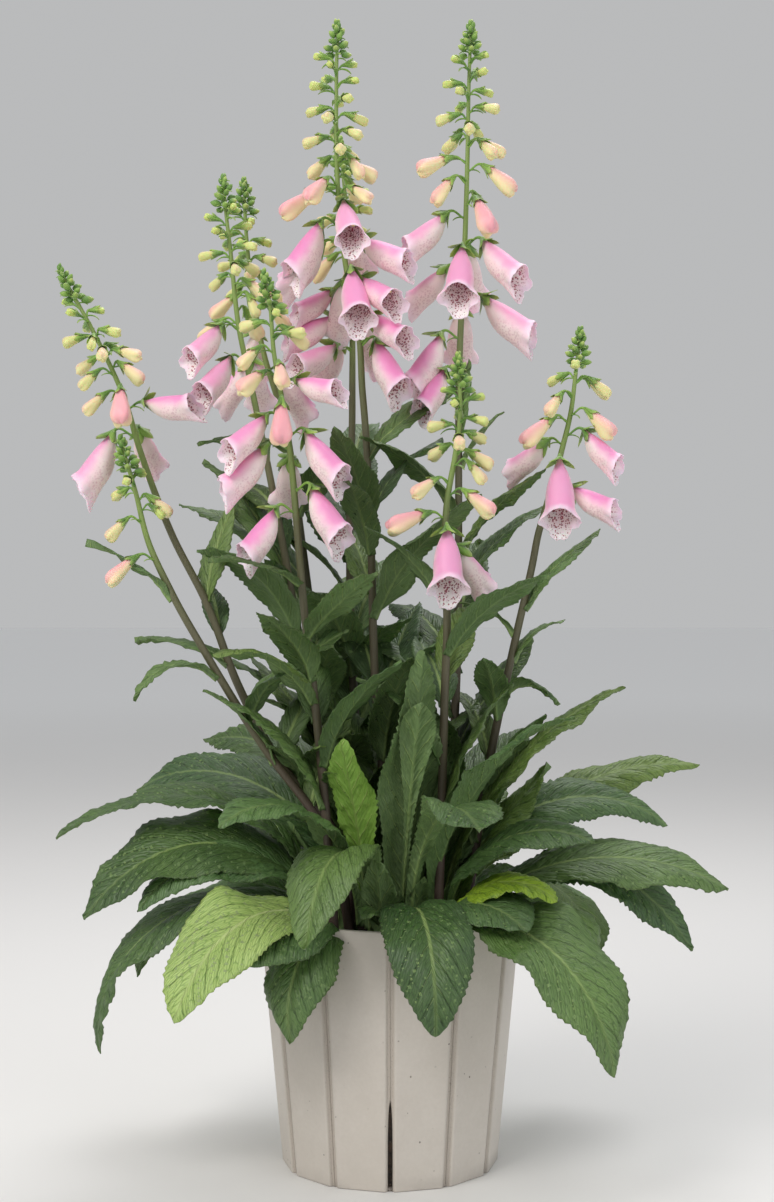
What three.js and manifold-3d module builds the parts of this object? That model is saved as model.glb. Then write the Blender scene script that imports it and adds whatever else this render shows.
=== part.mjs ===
// A foxglove in a board-sided planter pot: flower stalks, their flower spikes, basal leaves, soil and pot.
// Millimetres, +Z up. The origin is the centre of the pot's underside, and -Y is the front.

import * as THREE from "three";
import { ParametricGeometry } from "three/addons/geometries/ParametricGeometry.js";
import { mergeVertices } from "three/addons/utils/BufferGeometryUtils.js";
import Module from "manifold-3d";

const wasm = await Module();
wasm.setup();

// ---- Driving dimensions ----

const GAP = 0.3; // left between pieces that touch
const OVERRUN = 5; // how far a cutter reaches past what it cuts

const POT = {
  boards: 12,
  height: 217,
  topRadius: 115, // to the corners between boards
  baseRadius: 94.5,
  wall: 4,
  floor: 4,
  grooveWidth: 6.5,
  grooveDepth: 2.2,
  slotWidth: 5.8, // the front groove opens right through the wall, low down
  slotHeight: 78,
};

const SOIL_TOP = 195;
const ROOT_DEPTH = 15; // how far each stalk stands in the soil

const STEM = {
  sides: 6,
  stalkRadius: 4,
  axisRadius: 2.6,
  steps: 8,
};

const LEAF = {
  stations: 8, // steps of a basal leaf from base to tip
  stemStations: 4, // steps of a leaf on a stalk
  thickness: 2,
  petioleShare: 0.16, // of the blade's width
  petioleEnd: 0.12, // share of the length before the blade opens
  fullness: 0.75, // of the blade's outline, whose half-width follows a sine to this power
  widestAt: 0.52, // share of the blade's length
  fold: 14, // degrees that each half rises from the midrib
};

const FLOWER = {
  sides: 5,
  wall: 1.4,
  mouthShare: 0.3, // mouth radius over length
  throatShare: 0.16,
  throatAt: 0.2, // share of the length where the neck ends
  hollowFrom: 0.25, // share of the length where the inside starts
  neck: 3, // how far a flower reaches back into its stalklet
  openLength: 44, // from this length on a flower is an open bell
  budShare: 0.24,
  budWidestAt: 0.5,
  stalkletRadius: 1.3,
  stalkletSides: 3,
  footDrop: 3, // how far under the flower its stalklet leaves the stem
  reach: (length) => 6 + 0.2 * length, // from the stem to the flower's base
};

// Besides its leaves in the plan, each stalk carries one at every step up, in a spiral. Pairs are values at
// the lowest and at the highest of them.
const SPIRAL = {
  step: 36,
  turn: 137.5,
  stalkTurn: 47, // from one stalk's lowest leaf to the next stalk's
  room: 16, // in height, from a leaf in the plan
  underSpike: 45,
  length: [155, 95],
  widthShare: 0.36,
  lift: [72, 58],
  tipLift: [32, 8],
  sway: 14, // how far a tip's lift varies from leaf to leaf
  swayTurn: 2.4,
};

// Small green buds stand in a spiral on the upper part of each spike.
const BUDS = {
  turn: 137.5,
  spacing: 9,
  length: [30, 13], // from the stem's middle, at the lowest and at the highest
  lift: [-28, 17],
  radiusShare: 0.26,
  tipSunk: 18, // how far below the stem's end the cluster at the tip starts
  tipProfile: [[0, 0], [6.4, 5], [8, 12], [0, 26]], // its radius and height
};

// ---- Planting plan ----

// stem: points on the stem, from the soil to the tip. spikeFrom: the height where the flower spike starts.
// budsFrom: the height of its lowest small bud. leavesFrom: the height of the lowest leaf of the spiral.
// leafSize: how long the spiral's leaves are on it, as a share of their usual length.
// flowers: height of the base, side it faces in degrees (0 right, -90 front), dip below level, length.
// leaves: height, side, length, width, lift of the base above level, lift of the tip.
const STALKS = [
  {
    name: "far_left",
    stem: [
      [-34, -12, 178], [-48, -13, 285], [-100, -16, 352], [-130, -17, 410], [-159, -18, 485],
      [-187, -19, 540], [-193, -19, 554], [-215, -20, 614], [-229, -20, 660], [-249, -20, 704],
      [-285, -20, 770],
    ],
    spikeFrom: 554,
    budsFrom: 690,
    leavesFrom: 238,
    leafSize: 0.65,
    flowers: [
      [655, -20, 5, 50], [630, 190, 60, 58], [635, 80, 35, 48], [668, -80, 55, 40], [700, -25, 12, 28],
      [683, 200, 40, 24], [664, 195, 38, 28], [712, -90, 40, 20],
    ],
    leaves: [
      [484, 40, 92, 40, 80, 60], [430, 165, 92, 36, 40, -10], [395, 10, 110, 40, 50, 20],
    ],
  },
  {
    name: "near_left",
    stem: [
      [-30, -38, 178], [-56, -39, 290], [-108, -41, 362], [-161, -42, 448], [-182, -42, 485],
      [-187, -42, 495], [-204, -42, 532], [-216, -42, 578], [-229, -42, 622],
    ],
    spikeFrom: 495,
    budsFrom: 575,
    leavesFrom: 310,
    leafSize: 0.65,
    flowers: [
      [523, 205, 36, 36], [566, -10, 35, 17], [555, 195, 42, 26],
    ],
    leaves: [
      [486, 185, 90, 16, 50, 12], [420, 190, 88, 32, 40, -72],
    ],
  },
  {
    name: "left",
    stem: [
      [-24, 22, 178], [-48, 14, 300], [-81, 5, 463], [-91, 3, 520], [-104, 0, 590], [-106, 0, 600],
      [-122, 0, 677], [-131, 0, 719], [-139, 0, 790], [-144, 0, 835], [-145, 0, 852],
    ],
    spikeFrom: 600,
    budsFrom: 765,
    leavesFrom: 238,
    leafSize: 0.9,
    flowers: [
      [725, 215, 45, 48], [696, 225, 47, 50], [731, 160, 32, 30], [753, -10, 60, 24], [742, 60, 40, 34],
      [700, 75, 50, 48],
    ],
    leaves: [
      [500, 150, 150, 54, 70, 30], [455, 215, 130, 50, 60, 10], [560, 120, 90, 32, 40, 0],
    ],
  },
  {
    name: "back_left",
    stem: [
      [-30, 48, 178], [-52, 58, 330], [-80, 66, 540], [-91, 70, 622], [-93, 70, 634], [-116, 70, 715],
      [-131, 70, 822], [-133, 70, 866],
    ],
    spikeFrom: 634,
    budsFrom: 770,
    leavesFrom: 238,
    leafSize: 1,
    flowers: [
      [735, 100, 50, 50], [705, 150, 50, 50], [700, 40, 55, 52], [765, 170, 35, 34], [755, 20, 40, 30],
    ],
    leaves: [
      [622, 190, 88, 30, 28, -25], [500, 160, 150, 54, 55, 5], [430, 70, 150, 54, 60, 10],
    ],
  },
  {
    name: "front_left",
    stem: [
      [-45, -52, 178], [-56, -57, 330], [-65, -60, 418], [-71, -60, 468], [-77, -60, 535],
      [-78, -60, 547], [-84, -60, 611], [-91, -60, 656], [-97, -60, 690], [-102, -60, 741],
      [-106, -60, 758],
    ],
    spikeFrom: 547,
    budsFrom: 715,
    leavesFrom: 310,
    leafSize: 0.85,
    flowers: [
      [669, -30, 15, 46], [653, -88, 62, 43], [640, 210, 42, 50], [616, 190, 46, 56], [607, 95, 40, 50],
      [627, -25, 50, 55], [581, -30, 55, 55], [563, 205, 55, 52], [697, 212, 38, 28], [676, 225, 30, 34],
      [708, -30, 0, 22], [684, -75, 45, 30],
    ],
    leaves: [
      [500, 215, 90, 32, 30, -10], [455, -50, 110, 40, 45, 10], [400, 230, 130, 47, 50, -10],
    ],
  },
  {
    name: "tall_left",
    stem: [
      [4, 4, 178], [-6, 7, 330], [-12, 8, 400], [-18, 9, 573], [-23, 10, 655], [-24, 10, 666],
      [-27, 10, 718], [-39, 10, 780], [-46, 10, 853], [-47, 10, 930], [-46, 10, 990],
    ],
    spikeFrom: 666,
    budsFrom: 870,
    leavesFrom: 238,
    leafSize: 1,
    flowers: [
      [832, -75, 50, 52], [801, -25, 28, 54], [817, 200, 60, 58], [800, 165, 45, 54], [774, -75, 60, 56],
      [766, -45, 32, 50], [735, -40, 32, 50], [713, -35, 60, 55], [845, 190, 30, 43], [853, 235, 36, 38],
      [875, -35, 50, 28], [846, -40, 26, 30], [860, 60, 30, 32], [820, 70, 45, 50], [770, 100, 50, 52],
    ],
    leaves: [
      [610, 20, 110, 40, 55, 20], [545, 250, 120, 43, 60, 30], [470, 330, 150, 54, 65, 25],
      [410, 110, 150, 55, 60, 10],
    ],
  },
  {
    name: "mid_left",
    stem: [
      [-16, 38, 178], [-28, 44, 330], [-35, 50, 459], [-36, 55, 576], [-34, 59, 655], [-34, 60, 666],
      [-34, 60, 730], [-38, 60, 820], [-45, 60, 900],
    ],
    spikeFrom: 666,
    budsFrom: 810,
    leavesFrom: 238,
    leafSize: 1,
    flowers: [
      [742, 195, 30, 52], [715, 215, 27, 52], [766, 200, 33, 46], [780, 80, 45, 50], [745, 60, 50, 52],
      [725, 130, 50, 50], [800, 150, 35, 34],
    ],
    leaves: [
      [600, 80, 110, 40, 50, 10], [520, 130, 140, 50, 60, 20], [450, 60, 140, 50, 60, 15],
    ],
  },
  {
    name: "tall_right",
    stem: [
      [46, 24, 178], [55, 27, 330], [60, 30, 446], [61, 30, 572], [61, 30, 655], [61, 30, 666],
      [63, 30, 730], [66, 30, 790], [69, 30, 885], [70, 30, 940], [72, 30, 996],
    ],
    spikeFrom: 666,
    budsFrom: 895,
    leavesFrom: 238,
    leafSize: 1,
    flowers: [
      [829, 190, 42, 52], [840, -60, 50, 43], [804, -32, 45, 56], [797, -100, 62, 56],
      [783, 155, 40, 48], [755, -15, 40, 60], [722, 195, 60, 57], [690, 215, 55, 48], [878, 190, 18, 35],
      [860, 210, 45, 34], [871, -8, 36, 38], [892, -40, 38, 26], [850, 60, 35, 36], [805, 80, 50, 52],
      [750, 90, 50, 54], [905, 120, 25, 24],
    ],
    leaves: [
      [628, 40, 74, 18, 84, 76], [604, 0, 64, 15, 70, 30], [560, 200, 120, 43, 55, 15],
      [492, 12, 116, 44, 60, 28], [420, 120, 140, 50, 55, 0],
    ],
  },
  {
    name: "front_right",
    stem: [
      [40, -36, 178], [44, -42, 320], [46, -46, 401], [48, -49, 470], [46, -50, 520], [46, -50, 530],
      [48, -50, 568], [55, -50, 608], [59, -50, 640], [57, -50, 690],
    ],
    spikeFrom: 530,
    budsFrom: 612,
    leavesFrom: 310,
    leafSize: 0.8,
    flowers: [
      [547, -87, 70, 56], [532, 50, 42, 50], [559, 205, 15, 42], [578, -30, 32, 36], [588, 210, 27, 30],
      [603, -28, 45, 26],
    ],
    leaves: [
      [480, 200, 100, 36, 60, 25], [440, -40, 130, 47, 55, 5], [395, 100, 110, 40, 50, 10],
    ],
  },
  {
    name: "far_right",
    stem: [
      [62, 2, 178], [84, 1, 330], [109, 0, 450], [124, 0, 516], [130, 0, 546], [133, 0, 556],
      [150, 0, 617], [157, 0, 646], [162, 0, 685], [166, 0, 720],
    ],
    spikeFrom: 556,
    budsFrom: 680,
    leavesFrom: 238,
    leafSize: 0.7,
    flowers: [
      [608, -95, 72, 58], [584, -25, 28, 48], [626, 150, 35, 46], [633, -25, 46, 46], [645, 200, 34, 40],
      [651, -30, 39, 36], [666, 215, 43, 28], [679, -5, 34, 25],
    ],
    leaves: [
      [478, 0, 98, 36, 50, 42], [455, 180, 60, 12, 60, 0], [432, 15, 64, 26, 60, 12],
      [405, -25, 60, 22, 40, -60],
    ],
  },
];

// Basal leaves: name, side, length, width, lift of the base, lift of the tip, distance of the base out,
// height of the base above the soil, and the roll that tips one edge down. Inner ones come first, and each
// later leaf makes room for those before it.
const BASAL_LEAVES = [
  ["upright_front", 302, 215, 64, 84, 76, 20, 6, -10],
  ["upright_tall", 286, 250, 62, 84, 68, 30, 6, 10],
  ["lime_upright", 250, 180, 44, 74, 64, 44, 8, 0],
  ["front_crumpled", 285, 205, 34, 86, 62, 40, 10, -15],
  ["upright_back", 85, 240, 69, 80, 55, 34, 8, 0],
  ["back_tall_left", 125, 230, 67, 70, 20, 40, 12, -10],
  ["back_tall_right", 45, 230, 67, 70, 20, 42, 12, 10],
  ["right_upward", 315, 268, 68, 86, 8, 44, 14, 15],
  ["right_high", 350, 270, 54, 86, 17, 44, 14, 15],
  ["left_arching", 158, 275, 70, 86, -34, 40, 14, -25],
  ["left_grey", 138, 290, 64, 82, -15, 42, 14, -20],
  ["front_arching", 290, 245, 66, 86, -25, 46, 10, 0],
  ["left_dark", 238, 245, 66, 86, -28, 46, 14, -20],
  ["right_middle", 0, 252, 60, 84, -41, 52, 16, 25],
  ["right_level", 14, 286, 54, 65, -7, 50, 12, 20],
  ["right_inner", 330, 190, 62, 80, -24, 50, 14, 15],
  ["front_grey", 251, 225, 72, 86, -78, 48, 12, 0],
  ["front_small", 265, 85, 34, 40, 0, 56, 12, 0],
  ["back_mid_left", 140, 220, 76, 54, -25, 50, 12, -10],
  ["back_mid_right", 55, 220, 76, 52, -28, 50, 12, 10],
  ["left_level", 188, 290, 66, 70, -36, 52, 16, -14],
  ["left_broad", 195, 262, 92, 65, -58, 54, 10, -28],
  ["front_right_mid", 307, 134, 82, 49, -36, 56, 12, 10],
  ["right_long", 348, 255, 76, 46, -29, 56, 12, 25],
  ["lime_round", 322, 140, 68, 70, -34, 58, 8, 15],
  ["left_lapping", 199, 208, 68, 70, -56, 58, 12, -24],
  ["left_hanging", 196, 283, 72, 47, -100, 56, 8, -8],
  ["yellow_front", 224, 216, 92, 36, -67, 58, 10, -20],
  ["front_hanging", 281, 195, 76, 50, -98, 58, 12, 0],
  ["right_low", 353, 248, 62, 51, -63, 58, 10, 25],
  ["right_broad", 331, 174, 88, 45, -74, 60, 8, 15],
  ["right_hanging", 313, 242, 96, 30, -80, 62, 8, 18],
  ["green_front", 232, 140, 84, 28, -36, 62, 10, -10],
  ["dark_hanging", 238, 150, 66, 32, -112, 62, 8, 0],
  ["back_low_left", 155, 250, 87, 42, -80, 60, 8, -10],
  ["back_low_mid", 118, 215, 85, 44, -92, 60, 8, 0],
  ["back_low", 78, 210, 85, 44, -94, 60, 8, 0],
  ["back_low_right", 38, 250, 87, 42, -76, 60, 8, 10],
];

// Where the few unusual basal leaves are widest, as a share of their length.
const WIDEST_AT = {
  lime_upright: 0.72,
  front_crumpled: 0.85,
  front_grey: 0.6,
  right_long: 0.6,
  front_arching: 0.8,
};

// ---- Finishes ----

const finish = (color, roughness) => new THREE.MeshStandardMaterial({ color, roughness, metalness: 0 });
const FINISH = {
  pot: finish(0xd6d0c6, 0.55),
  soil: finish(0x3a2c22, 0.95),
  leaf: finish(0x3f6b3a, 0.6),
  stem: finish(0x5c5a3a, 0.6),
  petal: finish(0xe3a7cf, 0.5),
};

// ---- Geometry helpers ----

const MERGE_WITHIN = 1e-4; // corners nearer than this are one
const HALVINGS = 20; // of a span, to find a height on a curve

const radians = THREE.MathUtils.degToRad;

// The solid of a closed three.js geometry. Corners that fall together are merged, and flat faces are dropped.
function solidOf(geometry) {
  const bare = geometry.clone();
  for (const name of Object.keys(bare.attributes)) {
    if (name !== "position") bare.deleteAttribute(name);
  }
  const merged = mergeVertices(bare, MERGE_WITHIN);
  const corners = merged.index.array;
  const faces = [];
  for (let i = 0; i < corners.length; i += 3) {
    const [a, b, c] = [corners[i], corners[i + 1], corners[i + 2]];
    if (a !== b && b !== c && c !== a) faces.push(a, b, c);
  }
  const mesh = new wasm.Mesh({
    numProp: 3,
    vertProperties: new Float32Array(merged.attributes.position.array),
    triVerts: new Uint32Array(faces),
  });
  return new wasm.Manifold(mesh);
}

function meshOf(name, solid, material) {
  const { vertProperties, triVerts } = solid.getMesh();
  const geometry = new THREE.BufferGeometry();
  geometry.setAttribute("position", new THREE.BufferAttribute(vertProperties, 3));
  geometry.setIndex(new THREE.BufferAttribute(triVerts, 1));
  geometry.computeVertexNormals();
  const mesh = new THREE.Mesh(geometry, material);
  mesh.name = name;
  return mesh;
}

const curveOf = (points) => new THREE.CatmullRomCurve3(points, false, "centripetal");

// The direction on a given side (degrees, 0 right) and lift above level.
function direction(side, lift) {
  const [a, b] = [radians(side), radians(lift)];
  return new THREE.Vector3(Math.cos(a) * Math.cos(b), Math.sin(a) * Math.cos(b), Math.sin(b));
}

// Turns a geometry that stands along +Y to point along a direction from a place.
function aim(geometry, place, way) {
  const turn = new THREE.Quaternion().setFromUnitVectors(new THREE.Vector3(0, 1, 0), way);
  return geometry.applyQuaternion(turn).translate(place.x, place.y, place.z);
}

// How far along a rising curve a given height is reached, from 0 to 1.
function shareAtHeight(curve, height) {
  let [low, high] = [0, 1];
  for (let i = 0; i < HALVINGS; i++) {
    const middle = (low + high) / 2;
    if (curve.getPoint(middle).z < height) low = middle;
    else high = middle;
  }
  return (low + high) / 2;
}

const pointAtHeight = (curve, height) => curve.getPoint(shareAtHeight(curve, height));

// A tube along a rising curve, between two heights.
function tube(curve, from, to, radius) {
  const circle = new THREE.EllipseCurve(0, 0, radius, radius).getPoints(STEM.sides);
  const section = new THREE.Shape(circle.slice(1));
  const [start, end] = [shareAtHeight(curve, from), shareAtHeight(curve, to)];
  const points = [];
  for (let i = 0; i <= STEM.steps; i++) {
    points.push(curve.getPoint(THREE.MathUtils.lerp(start, end, i / STEM.steps)));
  }
  const path = { steps: STEM.steps, extrudePath: curveOf(points), bevelEnabled: false };
  return solidOf(new THREE.ExtrudeGeometry(section, path));
}

const stemCurve = (stalk) => curveOf(stalk.stem.map((point) => new THREE.Vector3(...point)));

// ---- Leaf ----

// Half of the blade's width at a share s of its length: a narrow petiole that opens into a pointed oval.
function halfWidth(s, width, widestAt) {
  const along = THREE.MathUtils.clamp((s - LEAF.petioleEnd) / (1 - LEAF.petioleEnd), 0, 1);
  const skew = Math.log(0.5) / Math.log(widestAt);
  const oval = Math.sin(Math.PI * along ** skew) ** LEAF.fullness;
  return (width / 2) * (LEAF.petioleShare * (1 - along) + (1 - LEAF.petioleShare) * oval);
}

// Corners of a leaf's section as a side (1, 0 or -1) and a face (1 above, -1 below, 0 on a sharp edge).
const SHARP_SECTION = [[1, 0], [0, 1], [-1, 0], [0, -1]];
const BLUNT_SECTION = [[1, 1], [0, 1], [-1, 1], [-1, -1], [0, -1], [1, -1]];

// A leaf as a thin closed blade along a midrib that bends evenly from its base's lift to its tip's.
// A grown leaf has blunt edges and ends, so that it keeps its distance from the thin ones too.
function leaf(shape, grow = 0) {
  const { base, side, length, width, lift, tipLift } = shape;
  const { roll = 0, stations = LEAF.stations, widestAt = LEAF.widestAt } = shape;
  const rings = [];
  const centre = base.clone();
  for (let i = 0; i <= stations; i++) {
    const s = i / stations;
    const pitch = lift + (tipLift - lift) * s;
    const way = direction(side, pitch);
    const across = direction(side + 90, 0).applyAxisAngle(way, radians(roll));
    const up = direction(side, pitch + 90).applyAxisAngle(way, radians(roll));
    const end = i === 0 || i === stations;
    const half = grow + (end ? 0 : halfWidth(s, width, widestAt));
    const thick = grow + (end ? 0 : LEAF.thickness / 2);
    rings.push({ centre: centre.clone(), across, up, half, thick });
    centre.addScaledVector(direction(side, pitch + (tipLift - lift) / (2 * stations)), length / stations);
  }
  if (grow) {
    const cap = (ring, pitch, step) => {
      const moved = ring.centre.clone().addScaledVector(direction(side, pitch), step);
      return { ...ring, centre: moved, half: 0, thick: 0 };
    };
    rings.unshift(cap(rings[0], lift, -grow));
    rings.push(cap(rings.at(-1), tipLift, grow));
  }
  const section = grow ? BLUNT_SECTION : SHARP_SECTION;
  const fold = radians(LEAF.fold);
  const corner = (u, v, target) => {
    const { centre, across, up, half, thick } = rings[Math.round(v * (rings.length - 1))];
    const [hand, face] = section[Math.round(u * section.length) % section.length];
    target.copy(centre);
    const rise = Math.abs(hand) * half * Math.sin(fold);
    const proud = hand ? Math.min(grow, thick) : thick;
    target.addScaledVector(across, hand * half * Math.cos(fold));
    target.addScaledVector(up, rise + face * proud);
  };
  return solidOf(new ParametricGeometry(corner, section.length, rings.length - 1));
}

// The leaves of a stalk that follow the spiral, as rows like those of the plan.
function spiralLeaves(stalk, index) {
  const { lerp } = THREE.MathUtils;
  const top = stalk.spikeFrom - SPIRAL.underSpike;
  const rows = [];
  for (let n = 0; stalk.leavesFrom + n * SPIRAL.step < top; n++) {
    const height = stalk.leavesFrom + n * SPIRAL.step;
    if (stalk.leaves.some(([taken]) => Math.abs(taken - height) <= SPIRAL.room)) continue;
    const share = (height - stalk.leavesFrom) / (top - stalk.leavesFrom);
    const side = index * SPIRAL.stalkTurn + n * SPIRAL.turn;
    const length = lerp(...SPIRAL.length, share) * stalk.leafSize;
    const tipLift = lerp(...SPIRAL.tipLift, share) + SPIRAL.sway * Math.sin(SPIRAL.swayTurn * n + index);
    rows.push([height, side, length, length * SPIRAL.widthShare, lerp(...SPIRAL.lift, share), tipLift]);
  }
  return rows;
}

// ---- Flowers ----

// A bell that hangs open: an outer wall and an inner one that meet at the lip.
function bellProfile(length, grow) {
  const mouth = length * FLOWER.mouthShare + grow;
  const throat = length * FLOWER.throatShare + grow;
  const wall = FLOWER.wall + 2 * grow;
  return [
    [0, -grow - FLOWER.neck],
    [throat, length * FLOWER.throatAt],
    [mouth, length + grow],
    [mouth - wall, length + grow],
    [0, length * FLOWER.hollowFrom],
  ];
}

function budProfile(length, grow) {
  const radius = length * FLOWER.budShare + grow;
  return [[0, -grow - FLOWER.neck], [radius, length * FLOWER.budWidestAt], [0, length + grow]];
}

// A flower and the short stalk that carries it.
function flower(curve, [height, side, dip, length], grow) {
  const foot = pointAtHeight(curve, height - FLOWER.footDrop);
  const base = pointAtHeight(curve, height).addScaledVector(direction(side, 0), FLOWER.reach(length));
  const profile = length >= FLOWER.openLength ? bellProfile(length, grow) : budProfile(length, grow);
  const points = profile.map(([x, y]) => new THREE.Vector2(x, y));
  const body = aim(new THREE.LatheGeometry(points, FLOWER.sides), base, direction(side, -dip));
  return [solidOf(body), stalklet(foot, base, grow)];
}

function stalklet(foot, base, grow) {
  const radius = FLOWER.stalkletRadius + grow;
  const way = base.clone().sub(foot);
  const stem = new THREE.CylinderGeometry(radius, radius, way.length(), FLOWER.stalkletSides);
  stem.translate(0, way.length() / 2, 0);
  return solidOf(aim(stem, foot, way.clone().normalize()));
}

// A small bud that starts inside the stem.
function smallBud(curve, height, side, lift, length, grow) {
  const radius = length * BUDS.radiusShare + grow;
  const bud = new THREE.OctahedronGeometry(1).scale(radius, length / 2 + grow, radius);
  return solidOf(aim(bud.translate(0, length / 2, 0), pointAtHeight(curve, height), direction(side, lift)));
}

// The flower spike: its axis, flowers from the bottom up, and small buds to the tip.
function spike(stalk, grow = 0) {
  const curve = stemCurve(stalk);
  const top = stalk.stem.at(-1)[2];
  const tipFrom = top - BUDS.tipSunk;
  const parts = [tube(curve, stalk.spikeFrom, top, STEM.axisRadius + grow)];
  for (const row of stalk.flowers) parts.push(...flower(curve, row, grow));
  const count = Math.floor((tipFrom - stalk.budsFrom) / BUDS.spacing);
  for (let i = 0; i < count; i++) {
    const length = THREE.MathUtils.lerp(...BUDS.length, i / count);
    const lift = THREE.MathUtils.lerp(...BUDS.lift, i / count);
    parts.push(smallBud(curve, stalk.budsFrom + i * BUDS.spacing, i * BUDS.turn, lift, length, grow));
  }
  const points = BUDS.tipProfile.map(([x, y]) => new THREE.Vector2(x && x + grow, y));
  const place = pointAtHeight(curve, tipFrom);
  parts.push(solidOf(aim(new THREE.LatheGeometry(points, FLOWER.sides), place, curve.getTangent(1))));
  return wasm.Manifold.union(parts);
}

// The stalk below its spike, without its leaves.
function bareStalk(stalk, grow = 0) {
  const foot = SOIL_TOP - ROOT_DEPTH - grow;
  return tube(stemCurve(stalk), foot, stalk.spikeFrom - 2 * GAP, STEM.stalkRadius + grow);
}

// ---- Pot and soil ----

// A many-sided tapering block, one side for each board, with a corner facing the front.
function taper(baseRadius, topRadius, height, bottom) {
  const block = new THREE.CylinderGeometry(topRadius, baseRadius, height, POT.boards);
  return solidOf(block.rotateX(Math.PI / 2).translate(0, 0, bottom + height / 2));
}

const potRadiusAt = (z) => THREE.MathUtils.mapLinear(z, 0, POT.height, POT.baseRadius, POT.topRadius);

// A bar that lies along one corner of the pot's outside, as a cutter for a groove or a slot.
function cornerBar(index, width, depth, from, to) {
  const angle = (index * 2 * Math.PI) / POT.boards - Math.PI / 2;
  const slope = Math.atan2(POT.topRadius - POT.baseRadius, POT.height);
  const bar = new THREE.BoxGeometry(2 * depth, width, to - from);
  bar.rotateY(slope).translate(potRadiusAt((from + to) / 2), 0, (from + to) / 2).rotateZ(angle);
  return solidOf(bar);
}

function pot() {
  const inset = POT.wall;
  let body = taper(POT.baseRadius, POT.topRadius, POT.height, 0);
  const hollow = taper(
    potRadiusAt(POT.floor) - inset,
    potRadiusAt(POT.height + POT.floor) - inset,
    POT.height,
    POT.floor,
  );
  body = body.subtract(hollow);
  for (let i = 0; i < POT.boards; i++) {
    body = body.subtract(cornerBar(i, POT.grooveWidth, POT.grooveDepth, -OVERRUN, POT.height + OVERRUN));
  }
  return body.subtract(cornerBar(0, POT.slotWidth, POT.wall * 2, -OVERRUN, POT.slotHeight));
}

function soil(stalks) {
  const inset = POT.wall + GAP;
  const bottom = POT.floor + GAP;
  const block = taper(potRadiusAt(bottom) - inset, potRadiusAt(SOIL_TOP) - inset, SOIL_TOP - bottom, bottom);
  return stalks.reduce((left, stalk) => left.subtract(stalk), block);
}

// ---- Assembly ----

// Everything placed so far, each a little larger than it is, so that later pieces keep clear of it.
const placed = [];

function meets(a, b) {
  const [p, q] = [a.boundingBox(), b.boundingBox()];
  return p.min.every((low, i) => low < q.max[i] && q.min[i] < p.max[i]);
}

// Cuts a piece back from its neighbours and keeps the part that holds its base, or else the largest part.
function makeRoom(solid, neighbours, base) {
  let left = solid;
  for (const other of neighbours) {
    if (meets(left, other)) left = left.subtract(other);
  }
  const bodies = left.decompose();
  if (bodies.length < 2) return left;
  const score = (body) => (base ? -distanceToBox(base, body.boundingBox()) : body.volume());
  return bodies.reduce((best, body) => (score(body) > score(best) ? body : best));
}

function distanceToBox(point, box) {
  return new THREE.Box3(new THREE.Vector3(...box.min), new THREE.Vector3(...box.max)).distanceToPoint(point);
}

const plant = new THREE.Group();

const potSolid = pot();
const spikes = STALKS.map((stalk) => spike(stalk));
const grownSpikes = STALKS.map((stalk) => spike(stalk, GAP));
const grownStalks = STALKS.map((stalk) => bareStalk(stalk, GAP));

plant.add(meshOf("pot", potSolid, FINISH.pot));
plant.add(meshOf("soil", soil(grownStalks), FINISH.soil));
placed.push(potSolid);
STALKS.forEach((stalk, i) => {
  plant.add(meshOf(`spike_${stalk.name}`, makeRoom(spikes[i], placed), FINISH.petal));
  placed.push(grownSpikes[i]);
});
placed.push(...grownStalks);

STALKS.forEach((stalk, i) => {
  const curve = stemCurve(stalk);
  const others = placed.filter((solid) => solid !== grownStalks[i]);
  const parts = [bareStalk(stalk)];
  for (const [height, side, length, width, lift, tipLift] of [...stalk.leaves, ...spiralLeaves(stalk, i)]) {
    const base = pointAtHeight(curve, height);
    const shape = { base, side, length, width, lift, tipLift, stations: LEAF.stemStations };
    parts.push(makeRoom(leaf(shape), others, base));
    placed.push(leaf(shape, GAP));
    others.push(placed.at(-1));
  }
  plant.add(meshOf(`stalk_${stalk.name}`, makeRoom(wasm.Manifold.union(parts), grownSpikes), FINISH.stem));
});

for (const [name, side, length, width, lift, tipLift, out, above, roll] of BASAL_LEAVES) {
  const base = direction(side, 0).multiplyScalar(out).setZ(SOIL_TOP + above);
  const shape = { base, side, length, width, lift, tipLift, roll, widestAt: WIDEST_AT[name] };
  plant.add(meshOf(`leaf_${name}`, makeRoom(leaf(shape), placed), FINISH.leaf));
  placed.push(leaf(shape, GAP));
}

export default plant;
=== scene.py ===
"""The looks of a potted foxglove: pot, soil, leaves, stalks and flower spikes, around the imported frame.

Everything is in metres, +Z up, with the front towards -Y and the origin under the middle of the pot.
Each visible surface is worked out on parameter grids as a closed skin, and carries the values that its
finish reads.
"""

from __future__ import annotations

import logging
import math
from collections.abc import Callable
from dataclasses import dataclass, field, fields
from enum import Enum

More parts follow.
